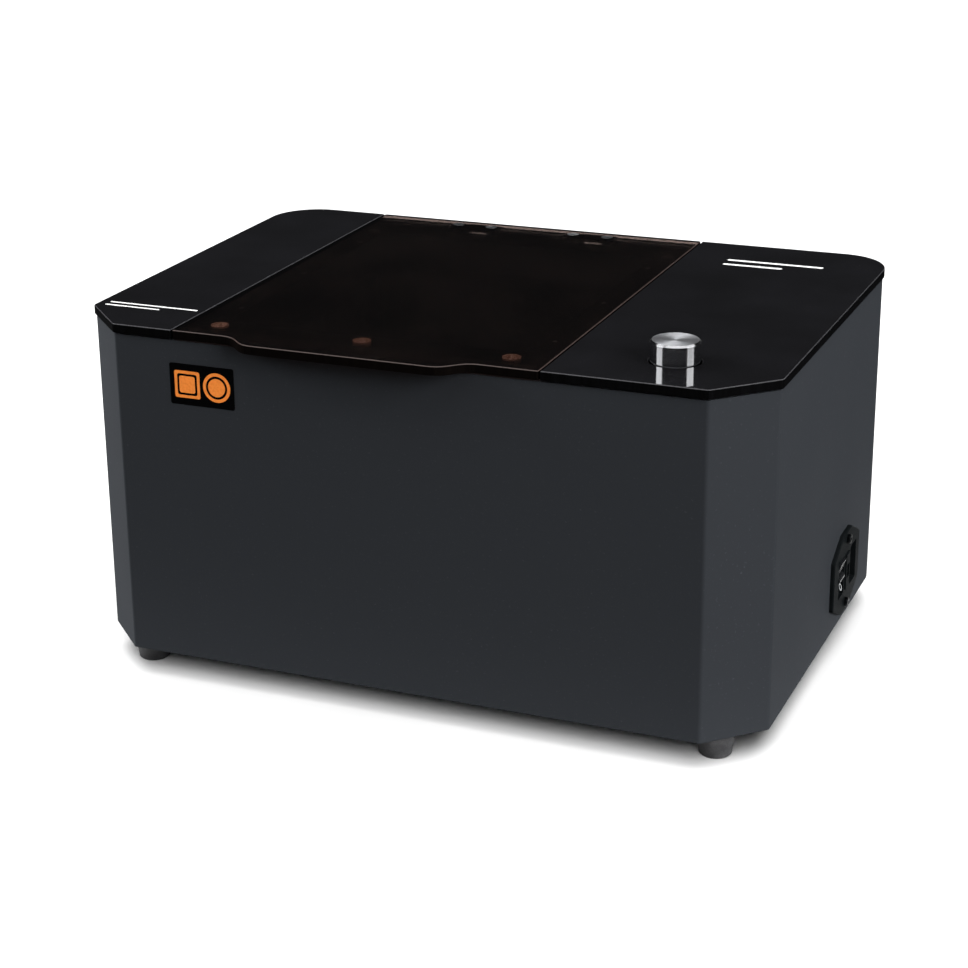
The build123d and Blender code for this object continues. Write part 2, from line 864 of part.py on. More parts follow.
# ---- Curing chamber -------------------------------------------------------------------
with BuildPart() as chamber_liner:
    with BuildSketch(level(floor_bottom)):
        with Locations((chamber_x, chamber_y)):
            RectangleRounded(*[side_length + 2 * liner for side_length in mouth], chamber_corner + liner)
    extrude(amount=chamber_depth + liner)
    with BuildSketch(level(frame_bottom)):
        with Locations((chamber_x, chamber_y)):
            margin = 2 * (liner + liner_flange)
            RectangleRounded(chamber_width + margin, chamber_length + margin, liner_flange_corner)
    extrude(amount=-liner)
    with BuildSketch(level(floor_top)):
        with Locations((chamber_x, chamber_y)):
            RectangleRounded(*mouth, chamber_corner)
    extrude(amount=chamber_depth, mode=Mode.SUBTRACT)
    rod(level(floor_bottom), [(chamber_x, chamber_y)], boss_radius + screw_gap, liner, Mode.SUBTRACT)
    rod(level(floor_bottom), motor_screw_places, m3 + screw_gap, liner, Mode.SUBTRACT)
    rod(level(frame_bottom - liner), liner_screw_places, m3 + screw_gap, liner, Mode.SUBTRACT)
save(chamber_liner, "chamber_liner")
screws("liner_screws", below(frame_bottom - liner), seen_below(liner_screw_places), m3, liner + plate)

# Three walls carry light sources: each plane lies on the wall and looks into the chamber
led_z = floor_top + led_board_lift + led_board_height / 2
left_wall = Plane(
    origin=(chamber_x - chamber_width / 2, chamber_y, led_z), x_dir=(0, 1, 0), z_dir=(1, 0, 0)
)
right_wall = Plane(
    origin=(chamber_x + chamber_width / 2, chamber_y, led_z), x_dir=(0, -1, 0), z_dir=(-1, 0, 0)
)
rear_wall = Plane(
    origin=(chamber_x, chamber_y + chamber_length / 2, led_z), x_dir=(1, 0, 0), z_dir=(0, -1, 0)
)
lit_walls = [(left_wall, led_board_length), (right_wall, led_board_length), (rear_wall, rear_board_length)]
window_seat = board + led_thickness + window_gap


def pillar_places(length):
    """Where a lit wall's four pillars stand, just outside its board."""
    reach_x = (length + window_margin) / 2
    reach_z = (led_board_height + window_margin) / 2
    return [(s * reach_x, t * reach_z) for s, t in corners]


with BuildPart() as led_boards:
    for wall, length in lit_walls:
        with BuildSketch(wall):
            Rectangle(length, led_board_height)
        extrude(amount=board)
save(led_boards, "led_boards")

with BuildPart() as led_emitters:
    for wall, length in lit_walls:
        with BuildSketch(wall.offset(board)):
            with GridLocations(length / led_columns, led_board_height / led_rows, led_columns, led_rows):
                Rectangle(led_size, led_size)
        extrude(amount=led_thickness)
save(led_emitters, "led_emitters")

with BuildPart() as led_windows:
    for wall, length in lit_walls:
        with BuildSketch(wall.offset(window_seat)):
            window_high = led_board_height + 2 * window_margin
            RectangleRounded(length + 2 * window_margin, window_high, window_corner)
            with Locations(*pillar_places(length)):
                Circle(m3 + screw_gap, mode=Mode.SUBTRACT)
        extrude(amount=window)
save(led_windows, "led_windows")

with BuildPart() as window_pillars:
    for wall, length in lit_walls:
        rod(wall, pillar_places(length), pillar_radius, window_seat)
        rod(wall.offset(window_seat), pillar_places(length), m3, window)
        rod(wall.offset(window_seat + window), pillar_places(length), pillar_radius, pillar_head)
save(window_pillars, "window_pillars")

with BuildPart() as heatsinks:
    for wall, length in lit_walls[:2]:
        with BuildSketch(wall.offset(-liner)):
            Rectangle(length, led_board_height)
        extrude(amount=-heatsink_base)
        with BuildSketch(wall.offset(-liner - heatsink_base)):
            with GridLocations((length - fin) / (fin_count - 1), 0, fin_count, 1):
                Rectangle(fin, led_board_height)
        extrude(amount=heatsink_base - heatsink_depth)
save(heatsinks, "heatsinks")

# ---- Turntable ------------------------------------------------------------------------
spindle = [(chamber_x, chamber_y)]
with BuildPart() as turntable_motor:
    rod(level(motor_bottom), spindle, motor_radius, motor_height)
    with BuildSketch(level(floor_bottom - plate)):
        with Locations(*spindle):
            SlotOverall(ear_span + ear_width, ear_width)
            Circle(motor_radius)
    extrude(amount=plate)
    rod(level(floor_bottom), spindle, boss_radius, liner + boss_height)
    rod(
        level(shaft_bottom - seat_gap),
        spindle,
        shaft_radius + running_gap,
        table_bottom - shaft_bottom,
        Mode.SUBTRACT,
    )
    rod(level(floor_bottom - plate), motor_screw_places, m3 + screw_gap, plate, Mode.SUBTRACT)
save(turntable_motor, "turntable_motor")
screws("motor_screws", level(floor_top), motor_screw_places, m3, liner + plate)

with BuildPart() as motor_shaft:
    rod(level(shaft_bottom), spindle, shaft_radius, table_bottom - shaft_bottom)
    rod(level(table_bottom), spindle, m4 + screw_gap, -table_screw_length - screw_gap, Mode.SUBTRACT)
save(motor_shaft, "motor_shaft")

with BuildPart() as turntable_hub:
    rod(level(table_bottom - hub_height), spindle, hub_radius, hub_height)
    chamfer(turntable_hub.faces().sort_by(Axis.Z)[0].edges(), hub_chamfer)
    rod(
        level(table_bottom - hub_height),
        spindle,
        shaft_radius + running_gap,
        hub_height,
        Mode.SUBTRACT,
    )
save(turntable_hub, "turntable_hub")

# The disc is bonded to the hub; the hub's screw lies sunk in the disc's middle
with BuildPart() as turntable_disc:
    rod(level(table_bottom), spindle, table_radius, table_thickness)
    chamfer(turntable_disc.faces().sort_by(Axis.Z)[-1].edges(), table_chamfer)
    rod(level(table_bottom), spindle, m4 * head_ratio + seat_gap, table_thickness, Mode.SUBTRACT)
save(turntable_disc, "turntable_disc")
screws("turntable_screw", level(table_bottom), spindle, m4, table_screw_length)

# ---- Fan ------------------------------------------------------------------------------
fan_corners = [(chamber_x + s * fan_pitch / 2, fan_height + t * fan_pitch / 2) for s, t in corners]
fan_centre = [(chamber_x, fan_height)]
with BuildPart() as fan_frame:
    with BuildSketch(upright(rear_inner)):
        with Locations(*fan_centre):
            RectangleRounded(fan_size, fan_size, fan_corner)
            Circle(fan_bore, mode=Mode.SUBTRACT)
    extrude(amount=fan_depth)
    with BuildSketch(upright(fan_front + fan_strut)):
        with Locations(*fan_centre):
            Circle(fan_hub)
            Rectangle(2 * fan_bore + fan_strut, fan_strut, rotation=45)
            Rectangle(2 * fan_bore + fan_strut, fan_strut, rotation=-45)
    extrude(amount=fan_strut)
    rod(upright(rear_inner), fan_centre, fan_axle + running_gap, fan_depth, Mode.SUBTRACT)
    rod(upright(rear_inner), fan_corners, m4 + screw_gap, fan_depth, Mode.SUBTRACT)
save(fan_frame, "fan_frame")
screws("fan_screws", behind(casing_rear), seen_behind(fan_corners), m4, sheet + fan_screw_grip)

with BuildPart() as fan_rotor:
    hub_front = fan_front + fan_strut + seat_gap
    hub_length = rear_inner - fan_strut - hub_front
    rod(upright(rear_inner - fan_strut), fan_centre, fan_hub - fan_hub_gap, hub_length)
    fillet(fan_rotor.faces().sort_by(Axis.Y)[-1].edges(), fan_hub_round)
    rod(upright(hub_front), fan_centre, fan_axle, fan_strut - seat_gap)
    # Cambered blades, trimmed round at their tips
    blade_y = (rear_inner - fan_strut + hub_front) / 2
    blade_start = fan_hub - blade_root
    for number in range(blade_count):
        turn = radians(number * 360 / blade_count)
        outward = Vector(cos(turn), 0, sin(turn))
        start = Vector(chamber_x, blade_y, fan_height) + outward * blade_start
        with BuildSketch(Plane(origin=start, x_dir=(0, 1, 0), z_dir=outward)) as section:
            with BuildLine(Plane.XY.rotated((0, 0, blade_pitch))):
                half, rise = blade_chord / 2, blade / 2
                ThreePointArc((-half, rise), (0, blade_camber + rise), (half, rise))
                Line((half, rise), (half, -rise))
                ThreePointArc((half, -rise), (0, blade_camber - rise), (-half, -rise))
                Line((-half, -rise), (-half, rise))
            make_face()
        extrude(section.sketch, amount=fan_bore - blade_start)
    rod(upright(rear_inner), fan_centre, fan_bore - blade_tip_gap, fan_depth, Mode.INTERSECT)
save(fan_rotor, "fan_rotor")

# ---- Knob and encoder -----------------------------------------------------------------
stem = [(knob_x, knob_y)]
stem_bottom = frame_bottom - encoder_height / 2
with BuildPart() as encoder_body:
    slab(
        knob_x - encoder_size / 2,
        knob_x + encoder_size / 2,
        knob_y - encoder_size / 2,
        knob_y + encoder_size / 2,
        frame_bottom - encoder_height,
        frame_bottom,
    )
    rod(level(frame_bottom), stem, bush_radius, plate + bush_height)
    chamfer(encoder_body.faces().sort_by(Axis.Z)[-1].edges(), bush_chamfer)
    rod(
        level(frame_bottom - encoder_height + encoder_floor),
        stem,
        stem_radius + running_gap,
        encoder_height + plate + bush_height,
        Mode.SUBTRACT,
    )
save(encoder_body, "encoder_body")

with BuildPart() as encoder_nut:
    with BuildSketch(level(frame_top)):
        with Locations(*stem):
            RegularPolygon(encoder_nut_half, 6, major_radius=False)
            Circle(bush_radius + running_gap, mode=Mode.SUBTRACT)
    extrude(amount=nut_height)
save(encoder_nut, "encoder_nut")

with BuildPart() as encoder_plunger:
    rod(level(stem_bottom - screw_gap), stem, stem_radius - screw_gap, -plunger_height)
save(encoder_plunger, "encoder_plunger")

with BuildPart() as encoder_stem:
    rod(level(stem_bottom), stem, stem_radius, stem_length)
    chamfer(encoder_stem.faces().sort_by(Axis.Z)[-1].edges(), stem_chamfer)
save(encoder_stem, "encoder_stem")

with BuildPart() as knob:
    rod(level(knob_bottom), stem, knob_radius, knob_top - knob_bottom)
    chamfer(knob.faces().sort_by(Axis.Z)[-1].edges(), knob_chamfer)
    rod(level(knob_bottom), stem, knob_recess_radius, knob_sink, Mode.SUBTRACT)
    rod(
        level(knob_bottom),
        stem,
        stem_radius + running_gap,
        stem_bottom + stem_length + seat_gap - knob_bottom,
        Mode.SUBTRACT,
    )
    rod(behind(knob_y), [(-knob_x, grub_z)], m3 + running_gap, knob_radius, Mode.SUBTRACT)
save(knob, "knob")

with BuildPart() as knob_grub_screw:
    rod(
        behind(knob_y + stem_radius + running_gap),
        [(-knob_x, grub_z)],
        m3,
        grub_length,
    )
save(knob_grub_screw, "knob_grub_screw")

# ---- Mains inlet ----------------------------------------------------------------------
inlet_face = side_outer + inlet_flange
inlet_back = side_outer - inlet_body_depth
socket_y = inlet_y + socket_shift
drawer_y = inlet_y + drawer_shift
rocker_y = inlet_y + rocker_shift
rocker_x = inlet_face - rocker_sink
pin_places = [
    (socket_y + socket_pin_shift, inlet_height - socket_pin_pitch / 2),
    (socket_y + socket_pin_shift, inlet_height + socket_pin_pitch / 2),
    (socket_y - socket_pin_shift, inlet_height),
]
inlet_screw_places = [(inlet_y, inlet_height + s * inlet_hole_pitch / 2) for s in (-1, 1)]
with BuildPart() as inlet_body:
    # Six-sided flange, drawn as a quarter and mirrored
    with BuildSketch(side(side_outer)):
        with Locations((inlet_y, inlet_height)):
            Polygon(
                *[(s * inlet_long / 2, t * inlet_flat / 2) for s, t in ((-1, -1), (-1, 1))],
                *[(s * inlet_crown / 2, inlet_high / 2) for s in (-1, 1)],
                *[(s * inlet_long / 2, t * inlet_flat / 2) for s, t in ((1, 1), (1, -1))],
                *[(s * inlet_crown / 2, -inlet_high / 2) for s in (1, -1)],
                align=Align.CENTER,
            )
    extrude(amount=inlet_flange)
    fillet(inlet_body.edges().filter_by(Axis.X), inlet_corner)
    chamfer(inlet_body.faces().sort_by(Axis.X)[-1].edges(), inlet_chamfer)
    slab(
        inlet_back,
        side_outer,
        inlet_y - inlet_body_long / 2,
        inlet_y + inlet_body_long / 2,
        inlet_height - inlet_body_high / 2,
        inlet_height + inlet_body_high / 2,
    )
    # Socket with two corners cut off, and the slots that its pins come through
    with BuildSketch(side(inlet_face)) as socket_plan:
        with Locations((socket_y, inlet_height)):
            Rectangle(socket_long, socket_high)
        chamfer(socket_plan.vertices().group_by(Axis.X)[0], socket_cut)
        fillet(socket_plan.vertices(), socket_round)
    extrude(amount=-socket_depth, mode=Mode.SUBTRACT)
    with BuildSketch(side(inlet_back)):
        with Locations(*pin_places):
            Rectangle(pin_thickness + screw_gap, pin_width + screw_gap)
    extrude(amount=inlet_body_depth, mode=Mode.SUBTRACT)
    # Drawer slot and rocker well
    slab(
        inlet_face - drawer_depth - seat_gap,
        inlet_face,
        drawer_y - drawer_long / 2 - seat_gap,
        drawer_y + drawer_long / 2 + seat_gap,
        inlet_height - drawer_high / 2 - seat_gap,
        inlet_height + drawer_high / 2 + seat_gap,
        Mode.SUBTRACT,
    )
    slab(
        inlet_face - rocker_well,
        inlet_face,
        rocker_y - rocker_long / 2,
        rocker_y + rocker_long / 2,
        inlet_height - rocker_high / 2 - rocker_end_gap,
        inlet_height + rocker_high / 2 + rocker_end_gap,
        Mode.SUBTRACT,
    )
    rod(
        upright(rocker_y + rocker_long / 2 + trunnion_length),
        [(rocker_x, inlet_height)],
        trunnion_radius + running_gap,
        rocker_long + 2 * trunnion_length,
        Mode.SUBTRACT,
    )
    rod(side(side_outer), inlet_screw_places, m3 + screw_gap, inlet_flange, Mode.SUBTRACT)
save(inlet_body, "inlet_body")
screws("inlet_screws", side(inlet_face), inlet_screw_places, m3, inlet_flange + sheet + nut_height)

with BuildPart() as inlet_nuts:
    with BuildSketch(side(side_inner)):
        with Locations(*inlet_screw_places):
            RegularPolygon(m3_nut, 6, major_radius=False)
            Circle(m3, mode=Mode.SUBTRACT)
    extrude(amount=-nut_height)
save(inlet_nuts, "inlet_nuts")

with BuildPart() as inlet_pins:
    with BuildSketch(side(inlet_back - pin_tail)):
        with Locations(*pin_places):
            Rectangle(pin_thickness, pin_width)
    extrude(amount=pin_tail + inlet_face - pin_setback - inlet_back)
    tips = inlet_pins.faces().group_by(Axis.X)[-1]
    chamfer(tips.edges(), pin_chamfer)
save(inlet_pins, "inlet_pins")

drawer_front = inlet_face + drawer_proud
with BuildPart() as fuse_drawer:
    slab(
        inlet_face - drawer_depth,
        drawer_front,
        drawer_y - drawer_long / 2,
        drawer_y + drawer_long / 2,
        inlet_height - drawer_high / 2,
        inlet_height + drawer_high / 2,
    )
    fillet(fuse_drawer.faces().sort_by(Axis.X)[-1].edges(), drawer_round)
    # Bed for the fuse, open at the side, and a finger notch in the front
    with BuildSketch(upright(drawer_y + drawer_long / 2)):
        with Locations((inlet_face - drawer_depth / 2, inlet_height)):
            Rectangle(2 * fuse_radius + 2 * seat_gap, fuse_length + 2 * screw_gap)
    extrude(amount=drawer_long - drawer_wall, mode=Mode.SUBTRACT)
    with BuildSketch(upright(drawer_y)):
        with Locations((drawer_front, inlet_height)):
            Rectangle(*drawer_notch)
    extrude(amount=drawer_long / 3, both=True, mode=Mode.SUBTRACT)
save(fuse_drawer, "fuse_drawer")

with BuildPart() as fuse:
    bed_y = drawer_y - drawer_long / 2 + drawer_wall + fuse_radius
    bed = Plane(origin=(inlet_face - drawer_depth / 2, bed_y, inlet_height))
    with BuildSketch(bed):
        Circle(fuse_tube)
    extrude(amount=fuse_length / 2, both=True)
    for s in (-1, 1):
        with BuildSketch(bed.offset(s * fuse_length / 2)):
            Circle(fuse_radius)
        extrude(amount=-s * fuse_cap)
save(fuse, "fuse")

with BuildPart() as rocker:
    with BuildSketch(upright(rocker_y)):
        with Locations(Location((rocker_x, inlet_height), -rocker_tilt)):
            tip = rocker_high / 2 - rocker_end
            Polygon(
                (rocker_rise, tip),
                (-rocker_dip, 0),
                (rocker_rise, -tip),
                (-rocker_skirt, -tip),
                (-rocker_depth, -rocker_foot),
                (-rocker_depth, rocker_foot),
                (-rocker_skirt, tip),
                align=None,
            )
            Circle(trunnion_radius + trunnion_web)
    extrude(amount=rocker_long / 2 - seat_gap, both=True)
    rod(
        upright(rocker_y + rocker_long / 2 + trunnion_length - screw_gap),
        [(rocker_x, inlet_height)],
        trunnion_radius,
        rocker_long + 2 * trunnion_length - 2 * screw_gap,
    )
save(rocker, "rocker")

# ---- Electronics ----------------------------------------------------------------------
power_x0 = power_x - power_size[0] / 2
power_y0 = power_y - power_size[1] / 2
with BuildPart() as power_supply:
    slab(
        power_x0,
        power_x0 + power_size[0],
        power_y0,
        power_y0 + power_size[1],
        base_top,
        base_top + power_size[2],
    )
    # Open end with the terminal block
    slab(
        power_x0,
        power_x0 + power_size[0],
        power_y0,
        power_y0 + terminal_bay,
        base_top + power_size[2] / 2,
        base_top + power_size[2],
        Mode.SUBTRACT,
    )
    with BuildSketch(level(base_top + power_size[2])):
        with Locations((power_x, power_y + terminal_bay / 2)):
            with GridLocations(*vent_pitch, vent_columns, vent_rows):
                Circle(vent_radius)
    extrude(amount=-vent_depth, mode=Mode.SUBTRACT)
    with BuildSketch(level(base_top + power_size[2] / 2)):
        with Locations((power_x, power_y0 + terminal_bay / 2)):
            Rectangle(terminal_block[0], terminal_block[1])
            with GridLocations(terminal_block[0] / terminal_count, 0, terminal_count, 1):
                Circle(terminal_radius, mode=Mode.SUBTRACT)
    extrude(amount=terminal_block[2])
    rod(level(base_top), power_feet, m3 + screw_gap, blind_hole, Mode.SUBTRACT)
save(power_supply, "power_supply")

with BuildPart() as led_driver:
    with BuildSketch(level(base_top)):
        with Locations((driver_x, mid_y)):
            RectangleRounded(driver_size[0], driver_size[1], driver_corner)
    extrude(amount=driver_size[2])
    with BuildSketch(level(base_top + driver_size[2])):
        with Locations((driver_x, mid_y)):
            with GridLocations(2 * groove_width, 0, groove_count, 1):
                Rectangle(groove_width, driver_size[1] - 2 * groove_end)
    extrude(amount=-groove_depth, mode=Mode.SUBTRACT)
    rod(level(base_top), driver_feet, m3 + screw_gap, blind_hole, Mode.SUBTRACT)
save(led_driver, "led_driver")
supply_feet = seen_below(power_feet + driver_feet)
screws("supply_screws", below(base_bottom), supply_feet, m3, plate + blind_hole, sheet)

board_bottom = base_top + standoff_height
board_top = board_bottom + board
with BuildPart() as board_standoffs:
    with BuildSketch(level(base_top)):
        with Locations(*board_feet):
            RegularPolygon(standoff_radius, 6)
    extrude(amount=standoff_height)
    rod(level(base_top), board_feet, m3, -plate)
    rod(level(board_bottom), board_feet, m3 + screw_gap, -standoff_height / 2, Mode.SUBTRACT)
save(board_standoffs, "board_standoffs")

with BuildPart() as control_board:
    with BuildSketch(level(board_bottom)):
        with Locations((control_x, control_y)):
            RectangleRounded(*control_size, control_corner)
        with Locations(*board_feet):
            Circle(m3 + screw_gap, mode=Mode.SUBTRACT)
    extrude(amount=board)
save(control_board, "control_board")
screws("board_screws", level(board_top), board_feet, m3, board + standoff_height / 2 - seat_gap)



def board_row(place, count, pitch, size):
    """A row of blocks that stand on the control board, placed from its middle."""
    with BuildSketch(level(board_top)) as row:
        with Locations((control_x + place[0], control_y + place[1])):
            with GridLocations(pitch, 0, count, 1):
                Rectangle(size[0], size[1])
    extrude(row.sketch, amount=size[2])


with BuildPart() as board_components:
    board_row(plug_row, plug_count, plug_pitch, plug_size)
    board_row(relay_row, relay_count, relay_pitch, relay_size)
    board_row(chip_row, chip_count, chip_pitch, chip_size)
    board_row(processor_row, 1, 0, processor_size)
    with BuildSketch(level(board_top)):
        with Locations((control_x + capacitor_row[0], control_y + capacitor_row[1])):
            with GridLocations(capacitor_pitch, 0, capacitor_count, 1):
                Circle(capacitor_radius)
    extrude(amount=capacitor_height)
save(board_components, "board_components")

with BuildPart() as lid_sensor:
    with Locations((magnet_xs[0], magnet_y, frame_bottom)):
        Box(*sensor_size, align=(Align.CENTER, Align.CENTER, Align.MAX))
    fillet(lid_sensor.faces().sort_by(Axis.Z)[0].edges(), sensor_round)
save(lid_sensor, "lid_sensor")
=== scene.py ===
"""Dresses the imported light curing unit: finishes for its pieces, trim, studio and camera."""

import json
import logging
import math
from collections.abc import Iterable
from dataclasses import dataclass, field
from enum import Enum

import bmesh
import bpy
from mathutils import Matrix, Vector

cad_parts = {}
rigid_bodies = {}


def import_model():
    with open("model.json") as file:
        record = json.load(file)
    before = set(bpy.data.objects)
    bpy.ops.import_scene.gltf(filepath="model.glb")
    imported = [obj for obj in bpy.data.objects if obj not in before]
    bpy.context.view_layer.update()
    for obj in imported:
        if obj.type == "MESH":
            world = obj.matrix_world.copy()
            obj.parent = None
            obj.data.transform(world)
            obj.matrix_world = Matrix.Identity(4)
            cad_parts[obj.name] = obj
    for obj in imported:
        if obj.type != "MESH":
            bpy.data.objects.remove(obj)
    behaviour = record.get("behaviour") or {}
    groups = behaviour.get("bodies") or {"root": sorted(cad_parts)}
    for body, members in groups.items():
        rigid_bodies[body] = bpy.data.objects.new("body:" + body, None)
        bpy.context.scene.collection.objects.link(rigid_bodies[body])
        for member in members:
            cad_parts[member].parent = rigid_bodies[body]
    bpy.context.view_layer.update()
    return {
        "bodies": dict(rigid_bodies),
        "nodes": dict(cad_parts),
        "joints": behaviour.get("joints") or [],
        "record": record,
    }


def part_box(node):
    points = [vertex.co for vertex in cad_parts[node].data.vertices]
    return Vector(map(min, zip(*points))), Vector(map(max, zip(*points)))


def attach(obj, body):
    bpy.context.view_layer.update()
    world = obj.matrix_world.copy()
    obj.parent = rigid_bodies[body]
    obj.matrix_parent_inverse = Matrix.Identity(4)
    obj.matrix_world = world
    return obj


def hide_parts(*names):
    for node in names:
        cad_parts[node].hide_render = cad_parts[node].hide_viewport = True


MM = 0.001
WELD = 0.001 * MM  # corners nearer to each other than this are one
CLOSE = 0.01 * MM  # heights and radii nearer to each other than this are the same
NOISE = {"Detail": 2.0, "Roughness": 0.55}  # the finer structure in each cell of a noise
MADE: dict[str, bpy.types.Material] = {}
log = logging.getLogger("curing_unit")

Colour = tuple[float, float, float, float]
Place = tuple[float, float, float]
Span = tuple[float, float]
Edges = tuple[float, float, float, float]
Frame = dict[str, object]
Shape = bmesh.types.BMesh
Tree = bpy.types.NodeTree
Node = bpy.types.Node
Socket = bpy.types.NodeSocket
Source = Node | Socket | None
Patterns = tuple[Source, Source, Source]


# ---- Small tools ------------------------------------------------------------------------
def linear(colour: str) -> Colour:
    """Turns an sRGB hex colour into linear light.

    Args:
        colour: The colour as "#rrggbb".

    Returns:
        Red, green, blue and an alpha of one.
    """
    parts = [int(colour[i : i + 2], 16) / 255 for i in (1, 3, 5)]
    red, green, blue = [p / 12.92 if p <= 0.04045 else ((p + 0.055) / 1.055) ** 2.4 for p in parts]
    return red, green, blue, 1.0


def add_node(
    tree: Tree,
    kind: str,
    inputs: dict[str | int, object] | None = None,
    feeds: Socket | None = None,
) -> Node:
    """Adds a node with its settings and links.

    Args:
        tree: The node tree that gets the node.
        kind: The node's type, such as "ShaderNodeBump".
        inputs: What its properties and inputs get. Another node, or one of its outputs, is
            linked, any other value is set, and "stops" fills a colour ramp.
        feeds: The input of another node that its first output feeds.

    Returns:
        The new node.
    """
    node = tree.nodes.new(kind)
    for key, value in (inputs or {}).items():
        if key == "stops":
            elements = node.color_ramp.elements
            for element, (position, colour) in zip(elements, value, strict=True):
                element.position, element.color = position, linear(colour)
        elif isinstance(value, Node):
            tree.links.new(value.outputs[0], node.inputs[key])
        elif isinstance(value, Socket):
            tree.links.new(value, node.inputs[key])
        elif isinstance(key, str) and hasattr(node, key):
            setattr(node, key, value)
        else:
            node.inputs[key].default_value = value
    if feeds is not None:
        tree.links.new(node.outputs[0], feeds)
    return node


def add_piece(
    name: str,
    shape: Shape,
    finishes: Iterable["Finish"],
    body: str,
    smooth: bool = False,
) -> bpy.types.Object:
    """Turns a finished bmesh into a piece that rides on a body.

    Args:
        name: The piece's name.
        shape: The mesh, in the unit's own frame. It is freed here.
        finishes: The piece's finishes, in the order of its material indices.
        body: The body that the piece moves with.
        smooth: Whether the faces are shaded smooth.

    Returns:
        The new object.
    """
    bmesh.ops.recalc_face_normals(shape, faces=shape.faces)
    for face in shape.faces:
        face.smooth = smooth
    piece = add_object(name, shape, finishes)
    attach(piece, body)
    log.info("piece %s on %s: %d faces", name, body, len(piece.data.polygons))
    return piece


def add_object(name: str, shape: Shape, finishes: Iterable["Finish"]) -> bpy.types.Object:
    """Turns a bmesh into an object in the scene.

    Args:
        name: The object's name.
        shape: The mesh. It is freed here.
        finishes: The object's finishes, in the order of its material indices.

    Returns:
        The new object.
    """
    mesh = bpy.data.meshes.new(name)
    shape.to_mesh(mesh)
    shape.free()
    for finish in finishes:
        mesh.materials.append(finish.material())
    made = bpy.data.objects.new(name, mesh)
    bpy.context.scene.collection.objects.link(made)
    return made


def break_edges(shape: Shape, edges: list[bmesh.types.BMEdge], reach: float, steps: int) -> None:
    """Rounds edges off, or gives them a flat where there is one step.

    Args:
        shape: The mesh.
        edges: The edges to break.
        reach: How far each break goes from its edge.
        steps: How many faces each break has.
    """
    bmesh.ops.bevel(
        shape,
        geom=edges,
        offset=reach,
        segments=steps,
        profile=0.5,
        affect="EDGES",
        material=-1,
    )


def add_plate(shape: Shape, middle: Place, size: Place, corner: float, steps: int) -> None:
    """Adds a thin plate with four rounded corners.

    Args:
        shape: The mesh that gets it.
        middle: The plate's middle.
        size: Its size along each axis, of which the least is its thickness.
        corner: How far its corners are rounded.
        steps: How many faces each corner has.
    """
    place = Matrix.Translation(middle) @ Matrix.Diagonal((*size, 1))
    corners = bmesh.ops.create_cube(shape, size=1, matrix=place)["verts"]
    thin = size.index(min(size))
    edges = dict.fromkeys(edge for vert in corners for edge in vert.link_edges)
    short = [e for e in edges if abs((e.verts[0].co - e.verts[1].co)[thin]) > size[thin] / 2]
    break_edges(shape, short, corner, steps)


def sharpen(piece: bpy.types.Object, angle: float) -> None:
    """Keeps the edges of a smooth piece crisp where it turns by more than an angle.

    Args:
        piece: The piece.
        angle: The angle in radians.
    """
    shape = bmesh.new()
    shape.from_mesh(piece.data)
    for edge in shape.edges:
        edge.smooth = edge.calc_face_angle(0.0) < angle
    shape.to_mesh(piece.data)
    shape.free()


def dress(frame: Frame, finish: "Finish", nodes: Iterable[str]) -> None:
    """Gives CAD nodes their finish.

    Args:
        finish: The finish that they share.
        nodes: The names of the nodes.
    """
    for name in nodes:
        mesh = frame["nodes"][name].data
        mesh.materials.clear()
        mesh.materials.append(finish.material())
        log.info("node %s in %s", name, finish.name)


# ---- Finishes ---------------------------------------------------------------------------
class Lay(Enum):
    """Which way a metal was brushed, as how far its lines run along each axis."""

    ALONG_X = (1, 0, 0)
    ALONG_Y = (0, 1, 0)
    ALONG_Z = (0, 0, 1)
    TUMBLED = (0, 0, 0)


class Light(Enum):
    """What a lamp's light shows in, as whether matt, glossy and clear surfaces take it."""

    BOTH = (True, True, True)
    MATT = (True, False, False)
    GLOSS = (False, True, True)


class Reach(Enum):
    """What a lamp's light falls on, as how its list of receivers takes the floor."""

    UNIT = "EXCLUDE"
    FLOOR = "INCLUDE"


class Pattern(Enum):
    """Which of a finish's two noises drives one of its qualities."""

    NONE = 0
    FINE = 1
    BROAD = 2


Drivers = tuple[Pattern, Pattern, Pattern]


